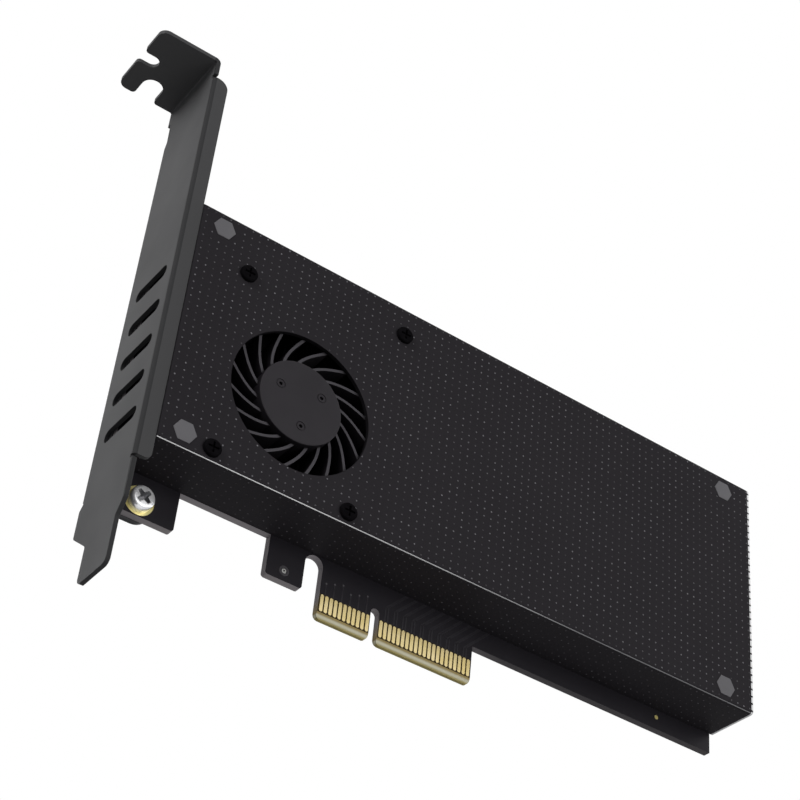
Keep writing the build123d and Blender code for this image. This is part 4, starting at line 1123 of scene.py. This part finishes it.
@dataclass
class VentFlange:
    """Folded flange that joins the bracket's two ears behind the vents, so that no light comes through;
    its near-black coat is painted shade.

    Attributes:
        bracket_x: Where the bracket's inner face is along X.
        board_y: Where the back of the board is along Y.
        gap: Gap between the board and the flange.
        sheet: Thickness of the sheet.
        bend: Radius of the fold's inner side.
        bend_steps: Steps over which it turns.
        width: How far the flange reaches from the bracket.
        low_z: Lower end, on the lower ear.
        high_z: Upper end, on the upper ear.
    """

    wardrobe: Wardrobe
    bracket_x: float = -56.94
    board_y: float = 0.785
    gap: float = 0.02
    sheet: float = BRACKET_SHEET
    bend: float = 0.8
    bend_steps: int = 6
    width: float = 3.2
    low_z: float = 10.8
    high_z: float = 53.0

    def build(self) -> list[bpy.types.Object]:
        """Draw the flange's section and stretch it along Z.

        Returns:
            The piece.
        """
        near_y = self.board_y + self.gap
        far_y = near_y + self.sheet
        angles = [math.pi * (1 + i / 2 / self.bend_steps) for i in range(self.bend_steps + 1)]
        arc = [
            (self.bracket_x + self.bend * (1 + math.cos(a)), far_y + self.bend * (1 + math.sin(a)))
            for a in angles
        ]
        end_x = self.bracket_x + self.width
        section = [(self.bracket_x, near_y), *arc, (end_x, far_y), (end_x, near_y)]
        flange = bmesh.new()
        corners = [flange.verts.new(Vector((x, y, self.low_z)) * MM) for x, y in section]
        face = flange.faces.new(corners)
        drawn = bmesh.ops.extrude_face_region(flange, geom=[face])["geom"]
        far_end = [v for v in drawn if isinstance(v, bmesh.types.BMVert)]
        bmesh.ops.translate(flange, vec=(0, 0, (self.high_z - self.low_z) * MM), verts=far_end)
        bmesh.ops.recalc_face_normals(flange, faces=flange.faces)
        piece = new_piece("vent_flange", flange)
        # Near-black coat: painted shade behind the vents
        self.wardrobe.dress(piece, VENT_SHADE_COAT)
        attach(piece, CARD)
        return [piece]


@dataclass(frozen=True)
class Track:
    """One copper line: straight up from a contact, slanting, then straight up again.

    Attributes:
        x: Where the line starts along X.
        first_rise: Height at which it starts to slant.
        slant: How far it moves along X in its slanting part, with its sign.
        top: Height at which it ends.
    """

    x: float
    first_rise: float
    slant: float
    top: float

    def points(self, foot: float) -> list[tuple[float, float]]:
        """Give the line's corners in X and Z, from its foot.

        Args:
            foot: Height of its foot.

        Returns:
            The corners, three or four of them.
        """
        slant_end = min(self.first_rise + abs(self.slant), self.top)
        share = (slant_end - self.first_rise) * (1 if self.slant > 0 else -1)
        corners = [(self.x, foot), (self.x, self.first_rise), (self.x + share, slant_end)]
        if slant_end < self.top:
            corners.append((self.x + share, self.top))
        return corners


@dataclass(frozen=True)
class TrackRow:
    """A row of copper lines that are alike but for where each starts, slants and ends.

    Attributes:
        count: How many places the row has.
        first_x: Where its first place is along X.
        rise: Height at which the first line starts to slant.
        slant: How far the lines move along X, with its sign.
        top: Height at which the first line ends.
        pitch: Distance between places.
        sides: Lines at each place, as shares of a pair's gap to either side of it.
        rise_step: How much higher each next place starts to slant.
        rise_cycle: After how many places that begins anew.
        top_step: How much higher each next place ends.
        top_cycle: After how many places that begins anew.
        capped: True where the lines end in capped holes.
        gap: Distance between the two lines of a pair.
        nest: How much later the second line of a pair slants.
    """

    count: int
    first_x: float
    rise: float
    slant: float
    top: float
    pitch: float = 2.0
    sides: tuple[float, ...] = (-0.5, 0.5)
    rise_step: float = 0.0
    rise_cycle: int = 10
    top_step: float = 0.0
    top_cycle: int = 10
    capped: bool = True
    gap: float = 0.62
    nest: float = 0.26

    def tracks(self) -> list[Track]:
        """Give the row's lines, place by place."""
        return [
            Track(
                self.first_x + i * self.pitch + side * self.gap,
                self.rise + i % self.rise_cycle * self.rise_step + side * self.nest,
                self.slant,
                self.top + i % self.top_cycle * self.top_step,
            )
            for i in range(self.count) for side in self.sides
        ]


@dataclass
class BoardCopper:
    """Copper lines and capped holes that show through the board's mask, on both faces.

    Attributes:
        foot: Height at which the lines leave the contacts.
        line_width: Width of a line.
        line_height: How far a line stands proud of the board.
        line_middle: Height of a line's middle over the board, against the line's height.
        overlap: How far a line's straight parts run into each other.
        front_rows: Lines on the component side: long pairs, then short single ones.
        back_rows: Lines on the back, which run up to the socket's holes.
        hole_radius: Radius of a capped hole.
        hole_height: How far a cap stands proud of the board.
        hole_sides: Sides of a cap's outline.
        ring_radius: Outer radius of the larger plated hole's masked ring.
        rim_radius: Outer radius of the bright tin left bare round that hole.
        ring_bore: Radius of that hole.
        ring_place: Where that hole is, along X and Z.
        ring_height: How far the ring and the rim stand proud of the board.
        ring_slope: Width of the slope at their outer edge.
        ring_steps: Steps round the hole.
    """

    wardrobe: Wardrobe
    foot: float = 5.2
    line_width: float = 0.3
    line_height: float = 0.03
    line_middle: float = 0.4
    overlap: float = 0.09
    front_rows: tuple[TrackRow, ...] = (
        TrackRow(10, first_x=2.5, rise=8.4, slant=9.0, top=12.4, rise_step=-0.12, capped=False),
        TrackRow(
            6, first_x=-11.0, rise=6.6, slant=0.01, top=7.6, pitch=1.8, sides=(0.0,),
            rise_step=0.5, rise_cycle=3, top_step=0.6, top_cycle=3,
        ),
    )
    back_rows: tuple[TrackRow, ...] = (
        TrackRow(
            7, first_x=5.5, rise=8.0, slant=-8.0, top=29.0, rise_step=1.1, top_step=1.5, top_cycle=2,
        ),
    )
    hole_radius: float = 0.2
    hole_height: float = 0.036
    hole_sides: int = 12
    ring_radius: float = 1.05
    rim_radius: float = 0.5
    ring_bore: float = 0.2
    ring_place: tuple[float, float] = (-20.0, 6.4)
    ring_height: float = 0.04
    ring_slope: float = 0.05
    ring_steps: int = 24

    def add_track(self, copper: bmesh.types.BMesh, track: Track, y: float) -> None:
        """Add one line, as a flat bar for each straight part.

        Args:
            copper: bmesh that collects the lines.
            track: The line.
            y: Height of its middle along Y.
        """
        corners = track.points(self.foot)
        for (x0, z0), (x1, z1) in zip(corners, corners[1:]):
            length = math.dist((x0, z0), (x1, z1)) + self.overlap
            turn = Matrix.Rotation(math.atan2(x1 - x0, z1 - z0), 4, "Y")
            size = Matrix.Diagonal(Vector((self.line_width, self.line_height, length, 1 / MM)) * MM)
            middle = Vector(((x0 + x1) / 2, y, (z0 + z1) / 2)) * MM
            bmesh.ops.create_cube(copper, size=1.0, matrix=Matrix.Translation(middle) @ turn @ size)

    def add_cap(
        self, caps: bmesh.types.BMesh, place: tuple[float, float], y: float, side: int
    ) -> None:
        """Add one capped hole as a flat round disc.

        Args:
            caps: bmesh that collects the caps.
            place: Where it is, along X and Z.
            y: Height of its face along Y.
            side: -1 on the front, 1 on the back.
        """
        turn = Matrix.Rotation(-side * math.pi / 2, 4, "X")
        spot = Matrix.Translation(Vector((place[0], y, place[1])) * MM)
        bmesh.ops.create_circle(
            caps, cap_ends=True, segments=self.hole_sides, radius=self.hole_radius * MM,
            matrix=spot @ turn,
        )

    def build(self) -> list[bpy.types.Object]:
        """Build the lines, the caps and the larger hole's ring.

        Returns:
            The pieces.
        """
        low, high = (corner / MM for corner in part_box("circuit_board"))
        lines = bmesh.new()
        caps = bmesh.new()
        for side, face_y, rows in ((-1, low.y, self.front_rows), (1, high.y, self.back_rows)):
            line_y = face_y + side * self.line_height * self.line_middle
            for row in rows:
                for track in row.tracks():
                    self.add_track(lines, track, line_y)
                    if row.capped:
                        end = track.points(self.foot)[-1]
                        self.add_cap(caps, end, face_y + side * self.hole_height, side)
        pieces = [new_piece("copper_lines", lines), new_piece("via_caps", caps)]
        self.wardrobe.dress(pieces[0], MASKED_COPPER)
        self.wardrobe.dress(pieces[1], VIA_CAP)
        pieces.append(self.ring("ring_collar", low.y, (self.ring_radius, self.rim_radius), MASKED_RING))
        pieces.append(self.ring("ring_rim", low.y, (self.rim_radius, self.ring_bore), TIN_PLATE))
        for piece in pieces:
            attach(piece, CARD)
        return pieces

    def ring(
        self, name: str, face_y: float, radii: tuple[float, float], finish: Finish
    ) -> bpy.types.Object:
        """Build one ring round the larger hole, as a low raised collar.

        Args:
            name: Name of the piece.
            face_y: Height of the board's front along Y.
            radii: Its outer and its inner radius.
            finish: Its finish.

        Returns:
            The ring.
        """
        collar = bmesh.new()
        spot = Matrix.Translation(Vector((self.ring_place[0], face_y, self.ring_place[1])) * MM)
        start = [
            collar.verts.new(spot @ (Vector((radius, -rise, 0)) * MM))
            for radius, rise in (
                (radii[0], 0),
                (radii[0] - self.ring_slope, self.ring_height),
                (radii[1], self.ring_height),
            )
        ]
        edges = [collar.edges.new(pair) for pair in zip(start, start[1:])]
        bmesh.ops.spin(
            collar, geom=start + edges, cent=spot.translation, axis=(0, 1, 0), angle=2 * math.pi,
            steps=self.ring_steps, use_merge=True,
        )
        bmesh.ops.recalc_face_normals(collar, faces=collar.faces)
        piece = new_piece(name, collar)
        self.wardrobe.dress(piece, finish)
        return piece


@dataclass
class PhotoCamera:
    """Camera with the photograph's place, turn and lens.

    Attributes:
        place: Camera's place in metres.
        right: Direction of the picture's right side.
        up: Direction of the picture's upper side.
        lens: Focal length for the sensor below.
        sensor: Width of the sensor.
        shift: Small shift that the photograph's framing needs.
        near: Nearest distance that the camera shows, in metres.
    """

    place: tuple[float, float, float] = (-0.1598, -0.2646, -0.1820)
    right: tuple[float, float, float] = (0.8131, -0.5753, 0.0889)
    up: tuple[float, float, float] = (-0.4105, -0.4584, 0.7883)
    lens: float = 88.1
    sensor: float = 36.0
    shift: tuple[float, float] = (-0.0038, 0.0058)
    near: float = 0.01

    def build(self) -> bpy.types.Object:
        """Create the camera and make it the scene's own.

        Returns:
            The camera object.
        """
        data = bpy.data.cameras.new("photo_camera")
        data.lens = self.lens
        data.sensor_width = self.sensor
        data.shift_x, data.shift_y = self.shift
        data.clip_start = self.near
        camera = bpy.data.objects.new("photo_camera", data)
        right = Vector(self.right).normalized()
        back = right.cross(Vector(self.up)).normalized()
        up = back.cross(right)
        turn = Matrix((right, up, back)).transposed().to_4x4()
        camera.matrix_world = Matrix.Translation(self.place) @ turn
        bpy.context.scene.collection.objects.link(camera)
        bpy.context.scene.camera = camera
        return camera


@dataclass(frozen=True)
class SoftBox:
    """A large soft lamp.

    Attributes:
        name: Name of the lamp.
        place: Where it hangs, in metres.
        width: Side of its square in metres.
        power: Power in watts.
    """

    name: str
    place: tuple[float, float, float]
    width: float
    power: float

    def build(self, target: Vector) -> bpy.types.Object:
        """Create the lamp, turned to a target.

        Args:
            target: Point that the lamp faces.

        Returns:
            The lamp object.
        """
        data = bpy.data.lights.new(self.name, "AREA")
        data.shape = "SQUARE"
        data.size = self.width
        data.energy = self.power
        lamp = bpy.data.objects.new(self.name, data)
        look = (target - Vector(self.place)).to_track_quat("-Z", "Y")
        lamp.matrix_world = Matrix.Translation(self.place) @ look.to_matrix().to_4x4()
        bpy.context.scene.collection.objects.link(lamp)
        return lamp


@dataclass
class Studio:
    """White room: lamps, background and a pale floor well below the card.

    Attributes:
        lamps: The soft lamps.
        target: Point that they face, in metres.
        ambient: Strength of the even light from all round.
        floor_z: Height of the floor in metres.
        floor_half: Half of the floor's width in metres.
        floor_colour: Colour of the floor.
        floor_roughness: Roughness of the floor.
        floor_glow: Paleness that only the camera and mirrors see, so that it lights nothing.
    """

    lamps: tuple[SoftBox, ...] = (
        SoftBox("key_left", (-1.4, -0.45, 0.75), 0.9, 17.5),
        SoftBox("front_fill", (0.6, -1.6, -0.08), 1.2, 15.0),
        SoftBox("back_fill", (0.3, 1.6, 0.7), 1.2, 20.0),
        SoftBox("right_fill", (1.5, 0.1, 0.4), 0.9, 14.0),
    )
    target: tuple[float, float, float] = (0.0, 0.0, 0.04)
    ambient: float = 0.12
    floor_z: float = -2.2
    floor_half: float = 6.0
    floor_colour: str = "#e9e9ea"
    floor_roughness: float = 0.8
    floor_glow: float = 0.8

    def seen_rays(self, tree: bpy.types.NodeTree) -> bpy.types.NodeSocket:
        """Tell the rays that the camera sees, directly, in a mirror or through glass.

        Args:
            tree: Node tree of the floor or of the background.

        Returns:
            A socket that is one for such a ray.
        """
        rays = add_node(tree, Kind.RAYS).outputs
        seen = rays["Is Camera Ray"]
        for name in ("Is Glossy Ray", "Is Transmission Ray"):
            either = {0: seen, 1: rays[name]}
            seen = add_node(tree, Kind.MATH, {"operation": "MAXIMUM"}, either).outputs[0]
        return seen

    def light(self) -> None:
        """Hang the lamps and set the background."""
        for lamp in self.lamps:
            lamp.build(Vector(self.target))
        world = bpy.data.worlds.new("white_room")
        bpy.context.scene.world = world
        world.use_nodes = True
        tree = world.node_tree
        tree.nodes.clear()
        white = linear("#ffffff")
        even, seen = (
            add_node(tree, Kind.BACKGROUND, inputs={"Color": white, "Strength": strength})
            for strength in (self.ambient, 1.0)
        )
        sides = {0: self.seen_rays(tree), 1: even.outputs["Background"], 2: seen.outputs["Background"]}
        mix = add_node(tree, Kind.MIX_SHADER, inputs=sides)
        add_node(tree, Kind.WORLD, inputs={"Surface": mix.outputs["Shader"]})

    def floor(self) -> bpy.types.Object:
        """Lay the pale floor.

        Returns:
            The floor object.
        """
        sheet = bmesh.new()
        bmesh.ops.create_grid(
            sheet, x_segments=1, y_segments=1, size=self.floor_half,
            matrix=Matrix.Translation((0, 0, self.floor_z)),
        )
        floor = new_piece("floor", sheet)
        material, shader = new_material("matt_painted_floor")
        for name in ("Base Color", "Emission Color"):
            shader.inputs[name].default_value = linear(self.floor_colour)
        shader.inputs["Roughness"].default_value = self.floor_roughness
        tree = material.node_tree
        share = {0: self.seen_rays(tree), 1: self.floor_glow}
        glow = add_node(tree, Kind.MATH, {"operation": "MULTIPLY"}, share)
        tree.links.new(glow.outputs[0], shader.inputs["Emission Strength"])
        floor.data.materials.append(material)
        return floor

    def build(self) -> None:
        """Build the whole room and set how colours are shown."""
        self.light()
        self.floor()
        bpy.context.scene.view_settings.view_transform = "Standard"


def main() -> None:
    """Load the frame, dress every solid, add the fine forms, and set the room and camera."""
    logging.basicConfig(level=logging.INFO, format="%(name)s: %(message)s")
    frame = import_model()
    wardrobe = Wardrobe()
    for name, finish in NODE_FINISHES.items():
        wardrobe.dress(frame["nodes"][name], finish)
        LOG.info("dressed %s in %s", name, finish.title)
    for maker in (DotField, PanScrews, VentFlange, BoardCopper):
        for piece in maker(wardrobe).build():
            LOG.info("built %s with %d faces", piece.name, len(piece.data.polygons))
    Studio().build()
    PhotoCamera().build()


if __name__ == "__main__":
    main()
